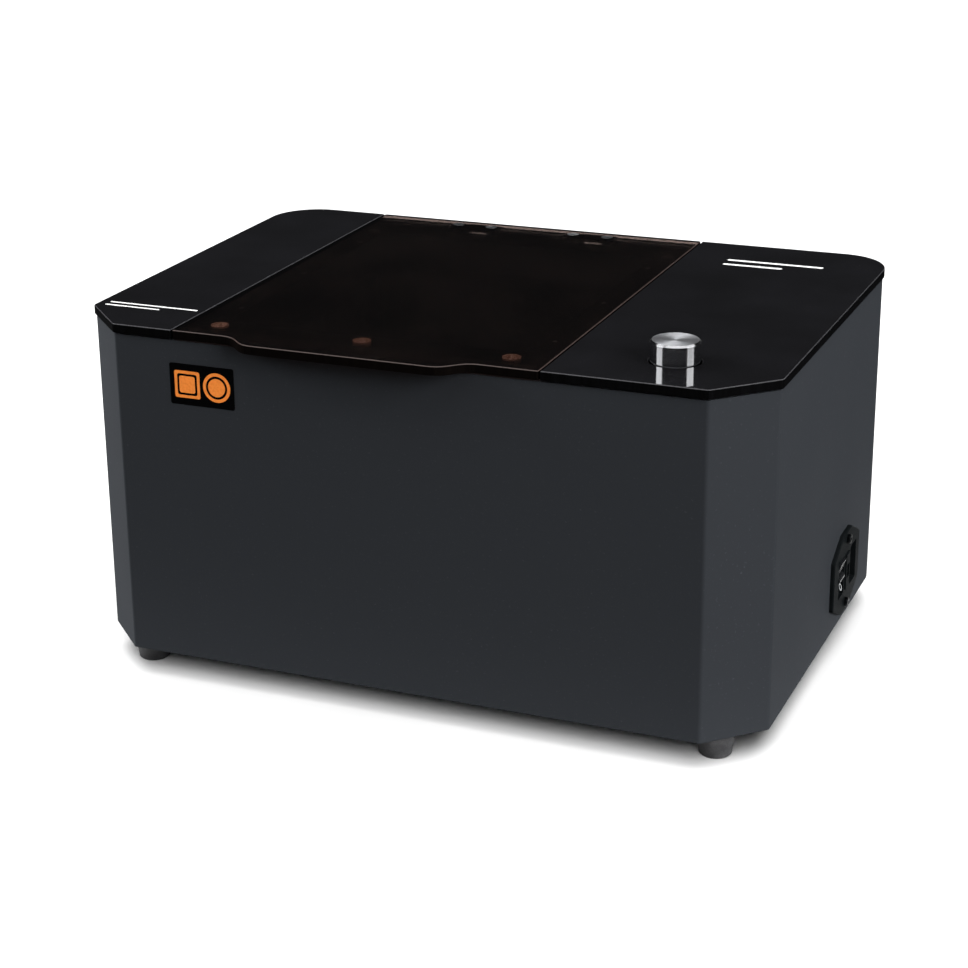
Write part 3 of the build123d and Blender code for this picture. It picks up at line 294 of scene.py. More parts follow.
@dataclass(frozen=True)
class Finish:
    """A finish: what the surface is made of and how it was worked."""

    name: str
    colour: str
    second: str = "#000000"  # the colour that its pattern brings
    fade: Span = (0.3, 0.75)  # where in the pattern the colour is full, and where the second is
    roughness: float = 0.5
    strays: Span = (0.0, 0.0)  # how far its roughness strays down and up
    wears: Span = (0.3, 0.7)  # the part of the pattern that the roughness follows
    metallic: float = 0.0
    ior: float = 1.5
    gloss: float = 0.5  # the shader's specular level, where one half is the full gloss
    depth: float = 0.02 * MM  # how high its pattern stands
    shown: float = 0.5  # how much of that height shows
    edge: float = 0.25 * MM  # how far a sharp edge is broken
    edge_samples: int = 4
    fine: float = 1.0 * MM  # the width of the fine noise's cells
    fine_detail: float = 2.0
    broad: float = 20 * MM  # the width of the broad noise's cells
    broad_detail: float = 2.0
    # What drives its colour, its wear and its height.
    driven: Drivers = (Pattern.BROAD, Pattern.FINE, Pattern.FINE)

    def material(self) -> bpy.types.Material:
        """Makes the material once and returns the same one after that.

        Returns:
            The material.
        """
        if self.name in MADE:
            return MADE[self.name]
        made = bpy.data.materials.new(self.name)
        MADE[self.name] = made
        made.use_nodes = True
        tree = made.node_tree
        tree.nodes.clear()
        settings = {
            "Base Color": linear(self.colour),
            "Roughness": self.roughness,
            "Metallic": self.metallic,
        }
        if not self.metallic:
            settings |= {"IOR": self.ior, "Specular IOR Level": self.gloss}
        surface = add_node(tree, "ShaderNodeBsdfPrincipled", settings)
        place = add_node(tree, "ShaderNodeTexCoord").outputs["Object"]
        self.join(tree, surface, self.patterns(tree, surface, place))
        add_node(tree, "ShaderNodeOutputMaterial", {"Surface": self.cover(tree, surface)})
        return made

    def join(self, tree: Tree, surface: Node, patterns: Patterns) -> None:
        """Joins the patterns to the shader, and breaks the surface's sharp edges.

        Args:
            tree: The material's nodes.
            surface: The material's shader.
            patterns: The patterns of its colour, its wear and its height.
        """
        tint, wear, height = patterns
        if tint is not None:
            stops = sorted(zip(self.fade, (self.colour, self.second)))
            ramp = {"Fac": tint, "stops": stops}
            add_node(tree, "ShaderNodeValToRGB", ramp, surface.inputs["Base Color"])
        if wear is not None:
            wearing = {
                "Value": wear,
                "From Min": self.wears[0],
                "From Max": self.wears[1],
                "To Min": self.roughness + self.strays[0],
                "To Max": self.roughness + self.strays[1],
            }
            add_node(tree, "ShaderNodeMapRange", wearing, surface.inputs["Roughness"])
        if height is not None:
            relief = {"Height": height, "Distance": self.depth, "Strength": self.shown}
            if self.edge:
                broken = {"samples": self.edge_samples, "Radius": self.edge}
                relief["Normal"] = add_node(tree, "ShaderNodeBevel", broken)
            add_node(tree, "ShaderNodeBump", relief, surface.inputs["Normal"])

    def patterns(self, tree: Tree, surface: Node, place: Socket) -> Patterns:
        """Adds the noises that drive the surface's qualities.

        Args:
            tree: The material's nodes.
            surface: The material's shader, for a finish that sets more of it.
            place: Where on the object, in metres.

        Returns:
            The patterns of its colour, its wear and its height.
        """
        made: dict[Pattern, Source] = {Pattern.NONE: None}
        if Pattern.FINE in self.driven:
            scale = [1 / size for size in self.cells()]
            stretched = add_node(tree, "ShaderNodeMapping", {"Vector": place, "Scale": scale})
            fine = {**NOISE, "Vector": stretched, "Scale": 1.0, "Detail": self.fine_detail}
            made[Pattern.FINE] = add_node(tree, "ShaderNodeTexNoise", fine)
        if Pattern.BROAD in self.driven:
            scale = 1 / self.broad
            broad = {**NOISE, "Vector": place, "Scale": scale, "Detail": self.broad_detail}
            made[Pattern.BROAD] = add_node(tree, "ShaderNodeTexNoise", broad)
        tint, wear, height = self.driven
        return made[tint], made[wear], made[height]

    def cells(self) -> Place:
        """Returns the size of the fine noise's cells along each axis."""
        return self.fine, self.fine, self.fine

    def cover(self, tree: Tree, surface: Node) -> Node:
        """Returns the shader that the material shows."""
        return surface


@dataclass(frozen=True)
class PowderCoat(Finish):
    """Polyester powder baked on sheet steel: a dull skin, dimpled like orange peel.

    The dimples' tops are a little paler, and the coat is thicker and shinier in broad patches.
    """

    second: str = "#323438"
    fade: Span = (0.62, 0.78)
    strays: Span = (-0.03, 0.03)
    ior: float = 1.12  # lower than the resin's 1.5, because a rough skin hardly shines at a slant
    gloss: float = 0.04  # matting wax in the powder leaves it little shine
    depth: float = 0.03 * MM
    shown: float = 0.6
    fine: float = 1.6 * MM  # dimples are nearer 0.6 mm, and drawn as coarse as they need to show
    fine_detail: float = 3.0
    broad: float = 90 * MM
    broad_detail: float = 1.0
    driven: Drivers = (Pattern.FINE, Pattern.BROAD, Pattern.FINE)


@dataclass(frozen=True)
class BrushedMetal(Finish):
    """Metal with the fine lines of a brush or a rolling mill, which spread its highlights.

    The lines are darker than the rest, and handling has left dull patches.
    """

    second: str = "#8a8d90"
    fade: Span = (0.7, 0.25)
    roughness: float = 0.34
    strays: Span = (-0.07, 0.09)
    metallic: float = 1.0
    fine: float = 0.5 * MM  # lines are nearer 0.05 mm, and drawn as coarse as they need to show
    fine_detail: float = 3.0
    broad: float = 25 * MM
    driven: Drivers = (Pattern.FINE, Pattern.BROAD, Pattern.FINE)
    lay: Lay = Lay.ALONG_X
    run: float = 30 * MM  # the length of a line

    def cells(self) -> Place:
        """Returns the size of its lines along each axis: long along the brushing, fine across."""
        across, deep, up = (self.run if along else self.fine for along in self.lay.value)
        return across, deep, up


@dataclass(frozen=True)
class TurnedMetal(Finish):
    """Aluminium faced on a lathe: rings on its ends that fan the light out from the middle."""

    second: str = "#a4a6ab"
    fade: Span = (0.2, 0.8)
    roughness: float = 0.15
    strays: Span = (0.0, 0.31)  # the side is polished, and the face isn't
    wears: Span = (0.0, 1.0)
    metallic: float = 1.0
    depth: float = 0.01 * MM
    shown: float = 0.35
    centre: Place = (0.0, 0.0, 0.0)
    fine: float = 0.45 * MM  # rings are nearer 0.1 mm, and drawn as coarse as they need to show
    faced: Span = (0.85, 0.99)  # how far up a normal points where the rings start and are full
    fan: float = 0.65  # how far a highlight is stretched across the rings
    fan_turn: float = 0.25  # a quarter turn, which lays the stretch across and not along them

    def patterns(self, tree: Tree, surface: Node, place: Socket) -> Patterns:
        """Adds rings about the axis on the end face, and stretches its highlights across them.

        Args:
            tree: The material's nodes.
            surface: The material's shader.
            place: Where on the object, in metres.

        Returns:
            The patterns of its colour, its wear and its height.
        """
        back = {"Vector": place, "Location": [-value for value in self.centre]}
        arm = add_node(tree, "ShaderNodeMapping", back)
        level = {"operation": "MULTIPLY", 0: arm, 1: (1, 1, 0)}
        arm = add_node(tree, "ShaderNodeVectorMath", level)
        length = {"operation": "LENGTH", 0: arm}
        radius = add_node(tree, "ShaderNodeVectorMath", length).outputs["Value"]
        cut = {"noise_dimensions": "1D", "W": radius, "Scale": 1 / self.fine, "Detail": 3.0}
        rings = add_node(tree, "ShaderNodeTexNoise", cut)
        turned = add_node(tree, "ShaderNodeTexCoord").outputs["Normal"]
        upward = add_node(tree, "ShaderNodeSeparateXYZ", {0: turned}).outputs["Z"]
        facing = {"Value": upward, "From Min": self.faced[0], "From Max": self.faced[1]}
        face = add_node(tree, "ShaderNodeMapRange", facing)
        marks = add_node(tree, "ShaderNodeMath", {"operation": "MULTIPLY", 0: rings, 1: face})
        cross = {"operation": "CROSS_PRODUCT", 0: (0, 0, 1), 1: arm}
        add_node(tree, "ShaderNodeVectorMath", cross, surface.inputs["Tangent"])
        surface.inputs["Anisotropic"].default_value = self.fan
        surface.inputs["Anisotropic Rotation"].default_value = self.fan_turn
        return marks, face, marks


@dataclass(frozen=True)
class CastAcrylic(Finish):
    """Polished cast acrylic: a deep wet gloss with hairlines from wiping."""

    second: str = "#18181a"
    fade: Span = (0.12, 0.5)
    roughness: float = 0.03
    strays: Span = (0.0, 0.06)
    wears: Span = (0.2, 0.45)
    ior: float = 1.49
    shown: float = 0.04
    hairline: float = 0.35 * MM  # nearer 0.02 mm, and drawn as coarse as it needs to show
    stroke: float = 1 / 12  # how far a hairline runs, in metres
    wiped: float = math.radians(32)  # which way it runs
    smear: float = 45 * MM
    dust: float = 1.1 * MM

    def patterns(self, tree: Tree, surface: Node, place: Socket) -> Patterns:
        """Adds crossing hairlines, faint smears and a trace of dust.

        Args:
            tree: The material's nodes.
            surface: The material's shader.
            place: Where on the object, in metres.

        Returns:
            The patterns of its colour, its wear and its height.
        """
        turn = (0, 0, self.wiped)
        scale = (1 / self.hairline, 1 / self.stroke, 1 / self.stroke)
        wiping = {"Vector": place, "Rotation": turn, "Scale": scale}
        stretched = add_node(tree, "ShaderNodeMapping", wiping)
        fine = {**NOISE, "Vector": stretched, "Scale": 1.0}
        lines = add_node(tree, "ShaderNodeTexNoise", fine)
        broad = {**NOISE, "Vector": place, "Scale": 1 / self.smear}
        smears = add_node(tree, "ShaderNodeTexNoise", broad)
        specks = {**NOISE, "Detail": 1.0, "Vector": place, "Scale": 1 / self.dust}
        dust = add_node(tree, "ShaderNodeTexNoise", specks)
        grey = add_node(tree, "ShaderNodeMath", {"operation": "MULTIPLY", 0: dust, 1: smears})
        wear = add_node(tree, "ShaderNodeMath", {"operation": "MULTIPLY", 0: lines, 1: smears})
        return grey, wear, smears


@dataclass(frozen=True)
class SawnEdge(Finish):
    """The machined edge of a sheet: fine cutter marks that stand across its thickness."""

    second: str = "#0b0b0c"
    roughness: float = 0.55
    strays: Span = (-0.08, 0.1)
    ior: float = 1.2
    gloss: float = 0.03
    depth: float = 0.01 * MM
    shown: float = 0.4
    edge: float = 0.0
    fine: float = 0.7 * MM  # marks are nearer 0.1 mm, and drawn as coarse as they need to show
    driven: Drivers = (Pattern.FINE, Pattern.FINE, Pattern.FINE)
    height: float = 1 / 30  # of a mark in metres, which is more than a sheet's thickness

    def cells(self) -> Place:
        """Returns the size of its marks along each axis."""
        return self.fine, self.fine, self.height


@dataclass(frozen=True)
class ClearAcrylic(CastAcrylic):
    """Transparent acrylic: what is behind shows in the sheet's own tint."""

    strays: Span = (0.0, 0.03)
    wears: Span = (0.3, 0.7)
    passed: str = "#ffffff"  # what a lamp's light keeps at each of its two faces

    def patterns(self, tree: Tree, surface: Node, place: Socket) -> Patterns:
        """Makes it clear, with smears that only roughen the gloss.

        Args:
            tree: The material's nodes.
            surface: The material's shader.
            place: Where on the object, in metres.

        Returns:
            The patterns of its colour, its wear and its height.
        """
        surface.inputs["Transmission Weight"].default_value = 1.0
        broad = {**NOISE, "Vector": place, "Scale": 1 / self.smear}
        smears = add_node(tree, "ShaderNodeTexNoise", broad)
        return None, smears, None

    def cover(self, tree: Tree, surface: Node) -> Node:
        """Lets a lamp's light through to what lies behind the sheet.

        Args:
            tree: The material's nodes.
            surface: The material's shader.

        Returns:
            The shader that the material shows.
        """
        sight = add_node(tree, "ShaderNodeLightPath").outputs["Is Shadow Ray"]
        clear = add_node(tree, "ShaderNodeBsdfTransparent", {"Color": linear(self.passed)})
        return add_node(tree, "ShaderNodeMixShader", {0: sight, 1: surface, 2: clear})


@dataclass(frozen=True)
class MouldedPlastic(Finish):
    """Injection-moulded plastic with a spark-eroded grain from its mould, and uneven colour."""

    second: str = "#2b2c2e"
    strays: Span = (-0.06, 0.06)
    gloss: float = 0.2
    fine: float = 0.9 * MM  # grain is nearer 0.2 mm, and drawn as coarse as it needs to show
    fine_detail: float = 3.0
    broad: float = 14 * MM


@dataclass(frozen=True)
class Rubber(Finish):
    """Vulcanised rubber: dull and finely pitted, with a grey bloom that has come to its surface."""

    second: str = "#3a3a3b"
    fade: Span = (0.35, 0.8)
    roughness: float = 0.72
    strays: Span = (-0.1, 0.12)
    depth: float = 0.05 * MM
    fine: float = 0.6 * MM  # pits are nearer 0.1 mm, and drawn as coarse as they need to show
    broad: float = 7 * MM
    broad_detail: float = 4.0


@dataclass(frozen=True)
class SolderMask(Finish):
    """A circuit board: lacquer over copper tracks, which stand up a little under it."""

    second: str = "#1f6a3c"
    roughness: float = 0.28
    strays: Span = (-0.05, 0.08)
    depth: float = 0.04 * MM
    shown: float = 0.6
    pitch: float = 3.2 * MM
    length: float = 9.0  # of a track between its turns, in pitches
    width: float = 0.22  # of a track, in pitches

    def patterns(self, tree: Tree, surface: Node, place: Socket) -> Patterns:
        """Adds tracks that run and turn in a grid under the lacquer.

        Args:
            tree: The material's nodes.
            surface: The material's shader.
            place: Where on the object, in metres.

        Returns:
            The patterns of its colour, its wear and its height.
        """
        grid = {
            "Vector": place,
            "Scale": 1.0,
            "Brick Width": self.length * self.pitch,
            "Row Height": self.pitch,
            "Mortar Size": self.width * self.pitch,
            "Mortar Smooth": 0.4,
            "Color1": linear(self.colour),
            "Color2": linear(self.colour),
            "Mortar": linear(self.second),
            "offset": 0.37,
        }
        tracks = add_node(tree, "ShaderNodeTexBrick", grid, surface.inputs["Base Color"])
        broad = {**NOISE, "Vector": place, "Scale": 1 / self.broad}
        patches = add_node(tree, "ShaderNodeTexNoise", broad)
        return None, patches, tracks.outputs["Fac"]


@dataclass(frozen=True)
class Print(Finish):
    """Pad-printed ink: a thin opaque film, thinner and shinier in spots."""

    second: str = "#c8c8c6"
    fade: Span = (0.6, 0.3)
    roughness: float = 0.45
    strays: Span = (0.0, 0.12)
    ior: float = 1.2
    gloss: float = 0.04
    depth: float = 0.01 * MM
    shown: float = 0.3
    fine: float = 1.4 * MM
    driven: Drivers = (Pattern.FINE, Pattern.FINE, Pattern.FINE)


@dataclass(frozen=True)
class FloorPaint(Finish):
    """The studio's floor: matt white paint with a roller's faint mottle."""

    second: str = "#f4f4f4"
    fade: Span = (0.2, 0.8)
    roughness: float = 0.9
    broad: float = 120 * MM
    driven: Drivers = (Pattern.BROAD, Pattern.NONE, Pattern.NONE)


CHARCOAL = PowderCoat("charcoal_powder_coat", "#26282b", edge=0.6 * MM)
BLACK_COAT = PowderCoat("black_powder_coat", "#0b0b0c", "#121213", roughness=0.7)
# Painted shade: the liner is near-black, standing in for the shade in the chamber under the tinted
# lid.
LINER_PAINTED_SHADE = PowderCoat("black_liner_painted_shade", "#08080a", "#0e0e0f", roughness=0.7)
BLACK_ACRYLIC = CastAcrylic("polished_black_acrylic", "#09090a", "#0f0f11", edge=0.3 * MM)
# Painted shade: the turntable is near-black, standing in for the shade in the chamber under the
# tinted lid.
TABLE_PAINTED_SHADE = CastAcrylic("black_table_acrylic_painted_shade", "#08080a", roughness=0.06, edge=0.3 * MM)
PANEL_EDGE = SawnEdge("machined_acrylic_edge", "#030303", "#070708", roughness=0.7, gloss=0.01)
# Painted highlight: the black acrylic's broken corners get a paler colour, which draws the light
# line along each corner.
PANEL_CORNER_HIGHLIGHT = SawnEdge(
    "acrylic_corner_painted_highlight", "#212123", "#303032", roughness=0.3, gloss=0.5, ior=1.49
)
LID_EDGE = SawnEdge("machined_lid_edge", "#040303", "#080605", roughness=0.7, gloss=0.01)
# Painted highlight: the lid's broken corners get a paler colour, which draws the light line along
# each corner.
LID_CORNER_HIGHLIGHT = SawnEdge(
    "lid_corner_painted_highlight", "#2a2321", "#352b28", roughness=0.3, gloss=0.5, ior=1.49
)
LID_ACRYLIC = ClearAcrylic("red_brown_acrylic", "#80706a", passed="#a08e86")
WINDOW_ACRYLIC = ClearAcrylic("clear_window_acrylic", "#f2f5f6", passed="#fafbfb")
FUSE_GLASS = ClearAcrylic("drawn_fuse_glass", "#e6efef", ior=1.52, passed="#f4f8f8")
FOAM_TAPE = Rubber("foam_tape", "#101010", roughness=0.85)
FOOT_RUBBER = Rubber("foot_rubber", "#1e1e20")
BUMPER_RUBBER = Rubber("bumper_rubber", "#1a1a1b", roughness=0.6)
ZINC = BrushedMetal("blue_zinc_plate", "#3b414b", "#2e333b", roughness=0.42, run=60 * MM)
STAINLESS = BrushedMetal("stainless_screws", "#b9bbbd", lay=Lay.TUMBLED, fine=0.8 * MM)
HINGE_STEEL = BrushedMetal("tumbled_hinge_steel", "#a9abad", lay=Lay.TUMBLED, fine=0.9 * MM)
SATIN_NICKEL = BrushedMetal(
    "satin_nickel_discs", "#f4efe8", "#e2dcd4", lay=Lay.TUMBLED, roughness=0.6, metallic=0.1
)
NICKEL = BrushedMetal("nickel_plate", "#c9c2b8", "#a9a299", lay=Lay.TUMBLED, roughness=0.26)
EXTRUSION = BrushedMetal("extruded_aluminium", "#b4b6b9", "#94979b", lay=Lay.ALONG_Z)
CASE_ALUMINIUM = BrushedMetal("punched_aluminium", "#a6a8ab", lay=Lay.ALONG_Y, roughness=0.4)
MOTOR_CAN = BrushedMetal("drawn_steel_can", "#9a9c9e", lay=Lay.ALONG_Z, roughness=0.38)
BRASS = BrushedMetal("turned_brass", "#c9a860", "#a58442", lay=Lay.TUMBLED, roughness=0.3)
BLACK_OXIDE = BrushedMetal(
    "black_oxide_screws", "#26282b", "#191b1d", lay=Lay.TUMBLED, roughness=0.42
)
KNOB_METAL = TurnedMetal("turned_aluminium_knob", "#dcdde0", centre=(139.7 * MM, -94.3 * MM, 0))
FAN_PLASTIC = MouldedPlastic("moulded_fan_plastic", "#161617")
INLET_NYLON = MouldedPlastic("inlet_nylon", "#090b0c", "#0d0f10", gloss=0.03, ior=1.2)
ROCKER_PLASTIC = MouldedPlastic("glossy_rocker_plastic", "#0e0f10", "#141517", roughness=0.22)
SWITCH_PLASTIC = MouldedPlastic("switch_plastic", "#17301f", "#1f3c29", roughness=0.4)
PARTS_PLASTIC = MouldedPlastic("component_plastic", "#23282d", "#2e3338", roughness=0.45)
# Painted shade: the emitters and their lenses are dark rather than pale silicone, standing in for
# the shade in the chamber under the tinted lid.
EMITTER_PAINTED_SHADE = MouldedPlastic("emitter_silicone_painted_shade", "#2c2a22", "#38352a", roughness=0.2)
BOARD_GREEN = SolderMask("green_solder_mask", "#12451f")
# Painted shade: the light boards are black, standing in for the shade in the chamber under the
# tinted lid.
BOARD_PAINTED_SHADE = SolderMask("black_solder_mask_painted_shade", "#0e0f10", "#1b1c1e")
WHITE_INK = Print("white_ink", "#b4b4b3", "#a6a6a5")
GREY_INK = Print("grey_ink", "#8f9192", "#7c7e7f")
AMBER_INK = Print("amber_ink", "#dc7f37", "#cf7430")
LABEL_FILM = Print("black_label_film", "#030303", "#050506", roughness=0.3, gloss=0.01)
FLOOR = FloorPaint("white_floor_paint", "#ededed")
CARD = Rubber("black_felt_card", "#030303", "#050505", roughness=0.95, gloss=0.02)


# ---- Sub-assemblies ---------------------------------------------------------------------
@dataclass
class Casing:
    """The folded casing with its feet and the film label on its front."""

    label: Edges = (-136.1 * MM, -96.6 * MM, 168.6 * MM, 192.2 * MM)  # left, right, bottom, top
    film: float = 0.15 * MM
    ink: float = 0.03 * MM
    corner: float = 1.2 * MM
    corner_steps: int = 6
    inset: float = 0.27  # from each end of the label to the middle of a sign, in label widths
    reach: float = 0.33  # from a sign's middle to its edge, in label heights
    layers: Place = (1.0, 0.78, 0.62)  # how far each layer of a sign reaches
    disc: float = 1.08  # how far a disc reaches where a square reaches 1
    disc_sides: int = 48

    def build(self, frame: Frame) -> None:
        """Dresses the casing and adds its label.
        """
        dress(frame, CHARCOAL, ["casing_wrap", "rear_panel"])
        dress(frame, BLACK_COAT, ["base_plate"])
        dress(frame, FOOT_RUBBER, ["feet"])
        dress(frame, STAINLESS, ["base_screws", "foot_screws", "rear_panel_screws"])
        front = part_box("casing_wrap")[0].y
        self.lay_film("front_label", LABEL_FILM, front, self.label, self.film)
        self.print_signs(front - self.film)

    def lay_film(self, name: str, finish: Finish, front: float, edges: Edges, thick: float) -> None:
        """Lays a thin upright film with rounded corners on the casing's front.

        Args:
            name: The piece's name.
            finish: Its finish.
            front: The Y of the face that it lies on.
            edges: Its left, right, bottom and top.
            thick: Its thickness.
        """
        left, right, bottom, top = edges
        shape = bmesh.new()
        middle = ((left + right) / 2, front - thick / 2, (bottom + top) / 2)
        size = (right - left, thick, top - bottom)
        add_plate(shape, middle, size, self.corner, self.corner_steps)
        add_piece(name, shape, [finish], "root")

    def print_signs(self, front: float) -> None:
        """Prints two plain amber shapes, a square and a disc, each with a dark inner line.

        Args:
            front: The Y of the label's own face.
        """
        left, right, bottom, top = self.label
        middle = (bottom + top) / 2
        share = self.inset * (right - left)
        inks = (AMBER_INK, LABEL_FILM, AMBER_INK)
        for layer, (part, ink) in enumerate(zip(self.layers, inks)):
            reach = part * self.reach * (top - bottom)
            face = front - layer * self.ink
            edges = (left + share - reach, left + share + reach, middle - reach, middle + reach)
            self.lay_film(f"label_square_{layer}", ink, face, edges, self.ink)
            disc = bmesh.new()
            centre = Matrix.Translation((right - share, face - self.ink / 2, middle))
            bmesh.ops.create_cone(
                disc,
                cap_ends=True,
                segments=self.disc_sides,
                radius1=self.disc * reach,
                radius2=self.disc * reach,
                depth=self.ink,
                matrix=centre @ Matrix.Rotation(math.pi / 2, 4, "X"),
            )
            add_piece(f"label_disc_{layer}", disc, [ink], "root")


@dataclass
class TopDeck:
    """The black top panels, the tinted lid with its hinges, and the printed stripes."""

    ink: float = 0.03 * MM
    # Each pair's left and right end, the Y of its long stripe, and its pitch.
    left_stripes: Edges = (-194.0 * MM, -138.0 * MM, -97.0 * MM, 5.6 * MM)
    right_stripes: Edges = (108.0 * MM, 166.0 * MM, 110.0 * MM, 10.0 * MM)
    least: float = 0.4 * MM  # a stripe's width where its pitch is nothing
    growth: float = 0.26  # how fast its width grows with its pitch
    lengths: Span = (1.0, 0.62)  # how much of the pair's length each stripe takes
    rounding: float = 0.45  # of a stripe's ends, in widths
    rounding_steps: int = 4
    polished: float = 0.95  # how far up a normal points on a sheet's faces at least
    # Broken corners get the paler corner finish, which is a painted highlight.
    cut: float = 0.3  # and on its broken corners

    def build(self, frame: Frame) -> None:
        """Dresses the deck and prints its stripes.
        """
        dress(frame, BLACK_COAT, ["top_frame"])
        for name in ("left_top_panel", "right_top_panel"):
            dress(frame, BLACK_ACRYLIC, [name])
            self.cut_sheet(frame, name, "root", [BLACK_ACRYLIC, PANEL_CORNER_HIGHLIGHT, PANEL_EDGE])
        dress(frame, LID_ACRYLIC, ["lid_panel"])
        self.cut_sheet(frame, "lid_panel", "lid", [LID_ACRYLIC, LID_CORNER_HIGHLIGHT, LID_EDGE])
        dress(frame, FOAM_TAPE, ["panel_tape"])
        dress(frame, BUMPER_RUBBER, ["lid_bumpers"])
        dress(frame, SATIN_NICKEL, ["lid_discs"])
        dress(frame, NICKEL, ["frame_magnets"])
        dress(frame, ZINC, ["hinge_bar"])
        dress(frame, HINGE_STEEL, ["hinge_fixed_leaves", "hinge_lid_leaves"])
        screws = ["hinge_bar_screws", "hinge_pins", "lid_screws", "lid_nuts", "frame_screws"]
        dress(frame, STAINLESS, screws)
        dress(frame, SWITCH_PLASTIC, ["lid_sensor"])
        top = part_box("left_top_panel")[1].z
        self.print_stripes("left_stripes", self.left_stripes, top)
        self.print_stripes("right_stripes", self.right_stripes, top)

    def cut_sheet(self, frame: Frame, name: str, body: str, finishes: list[Finish]) -> None:
        """Gives an acrylic sheet its polished faces, its broken corners with a painted highlight,
        and its machined edge.

        Args:
            name: The sheet's node.
            body: The body that it rides on.
            finishes: The finishes of its faces, its corners, whose paler colour is a painted
                highlight, and its edge.
        """
        shape = bmesh.new()
        shape.from_mesh(frame["nodes"][name].data)
        bmesh.ops.remove_doubles(shape, verts=shape.verts, dist=WELD)
        piece = add_piece(f"{name}_sheet", shape, finishes, body)
        for face in piece.data.polygons:
            tilt = abs(face.normal.z)
            # Index 1 is the corner band, whose paler colour paints a highlight along the corner.
            face.material_index = 0 if tilt > self.polished else 1 if tilt > self.cut else 2
        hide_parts(name)

    def print_stripes(self, name: str, place: Edges, top: float) -> None:
        """Prints a long and a short plain stripe on a panel.

        Args:
            name: The piece's name.
            place: The left and right end, the Y of the long stripe, and the pitch.
            top: The panel's top.
        """
        left, right, at, pitch = place
        wide = self.growth * pitch + self.least
        shape = bmesh.new()
        for row, share in enumerate(self.lengths):
            length = share * (right - left)
            middle = (left + length / 2, at - row * pitch, top + self.ink / 2)
            size = (length, wide, self.ink)
            add_plate(shape, middle, size, self.rounding * wide, self.rounding_steps)
        add_piece(name, shape, [WHITE_INK], "root")


@dataclass
class Chamber:
    """The curing chamber: black liner, light sources behind windows, and the turntable. Its dark
    pieces are painted shade for the chamber under the tinted lid.
    """

    emitter: float = 3.5 * MM  # the side of an emitter's square face
    spread: float = 0.1 * MM * MM  # how far that face's area may be off
    depth: float = 21 * MM  # how far from its wall an emitter's face lies at most
    squarely: float = 0.9  # how much of its normal points away from that wall at least
    leaning: float = 0.1  # how much of its normal points up or down at most
    lens_radius: float = 1.5 * MM
    lens_rise: float = 1.1 * MM
    lens_sides: int = 12
    lens_rings: int = 8

    def build(self, frame: Frame) -> None:
        """Dresses the chamber and sets a lens on each emitter.
        """
        # The liner, boards, emitters and turntable are near-black: painted shade for the dark
        # chamber under the tinted lid.
        dress(frame, LINER_PAINTED_SHADE, ["chamber_liner"])
        dress(frame, BOARD_PAINTED_SHADE, ["led_boards"])
        dress(frame, EMITTER_PAINTED_SHADE, ["led_emitters"])
        dress(frame, WINDOW_ACRYLIC, ["led_windows"])
        dress(frame, ZINC, ["window_pillars"])
        dress(frame, EXTRUSION, ["heatsinks", "turntable_hub"])
        dress(frame, STAINLESS, ["liner_screws", "motor_screws", "motor_shaft", "turntable_screw"])
        dress(frame, MOTOR_CAN, ["turntable_motor"])
        dress(frame, TABLE_PAINTED_SHADE, ["turntable_disc"])
        domes = bmesh.new()
        for centre, normal in self.find_faces(frame):
            self.add_lens(domes, centre, normal)
        rims = [edge for edge in domes.edges if edge.is_boundary]
        bmesh.ops.holes_fill(domes, edges=rims, sides=0)
        add_piece("led_lenses", domes, [EMITTER_PAINTED_SHADE], "root", smooth=True)

    def find_faces(self, frame: Frame) -> list[tuple[Vector, Vector]]:
        """Finds every emitter's face that looks into the chamber.


        Returns:
            Each face's middle and normal.
        """
        low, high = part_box("chamber_liner")
        shape = bmesh.new()
        shape.from_mesh(frame["nodes"]["led_emitters"].data)
        bmesh.ops.remove_doubles(shape, verts=shape.verts, dist=WELD)
        half = self.emitter * self.emitter / 2  # each face is two triangles
        found: dict[tuple[float, ...], tuple[Vector, Vector]] = {}
        for face in shape.faces:
            inward = (low + high) / 2 - face.calc_center_median()
            inward.z = 0
            if face.normal.dot(inward) > 0 and abs(face.calc_area() - half) < self.spread:
                slant = max(face.edges, key=lambda edge: edge.calc_length())
                centre = (slant.verts[0].co + slant.verts[1].co) / 2
                if self.looks_in(centre, face.normal, low, high):
                    key = tuple(round(value, 5) for value in centre)
                    found[key] = (centre, face.normal.copy())
        shape.free()
        return list(found.values())

    def looks_in(self, centre: Vector, normal: Vector, low: Vector, high: Vector) -> bool:
        """Tells whether a face near a wall looks away from that wall.

        Args:
            centre: The face's middle.
            normal: The face's normal.
            low: The chamber's lowest corner.
            high: The chamber's highest corner.

        Returns:
            True for the face that the lens goes on.
        """
        left = centre.x - low.x < self.depth and normal.x > self.squarely
        right = high.x - centre.x < self.depth and normal.x < -self.squarely
        rear = high.y - centre.y < self.depth and normal.y < -self.squarely
        return abs(normal.z) < self.leaning and (left or right or rear)

    def add_lens(self, domes: Shape, centre: Vector, normal: Vector) -> None:
        """Adds a domed lens.

        Args:
            domes: The mesh that gets it.
            centre: The middle of the face under it.
            normal: The way that it looks.
        """
        turn = Vector((0, 0, 1)).rotation_difference(normal).to_matrix().to_4x4()
        flat = Matrix.Diagonal((1, 1, self.lens_rise / self.lens_radius, 1))
        made = bmesh.ops.create_uvsphere(
            domes,
            u_segments=self.lens_sides,
            v_segments=self.lens_rings,
            radius=self.lens_radius,
            matrix=Matrix.Translation(centre) @ turn @ flat,
        )["verts"]
        behind = [vert for vert in made if (vert.co - centre).dot(normal) < -CLOSE]
        bmesh.ops.delete(domes, geom=behind, context="VERTS")


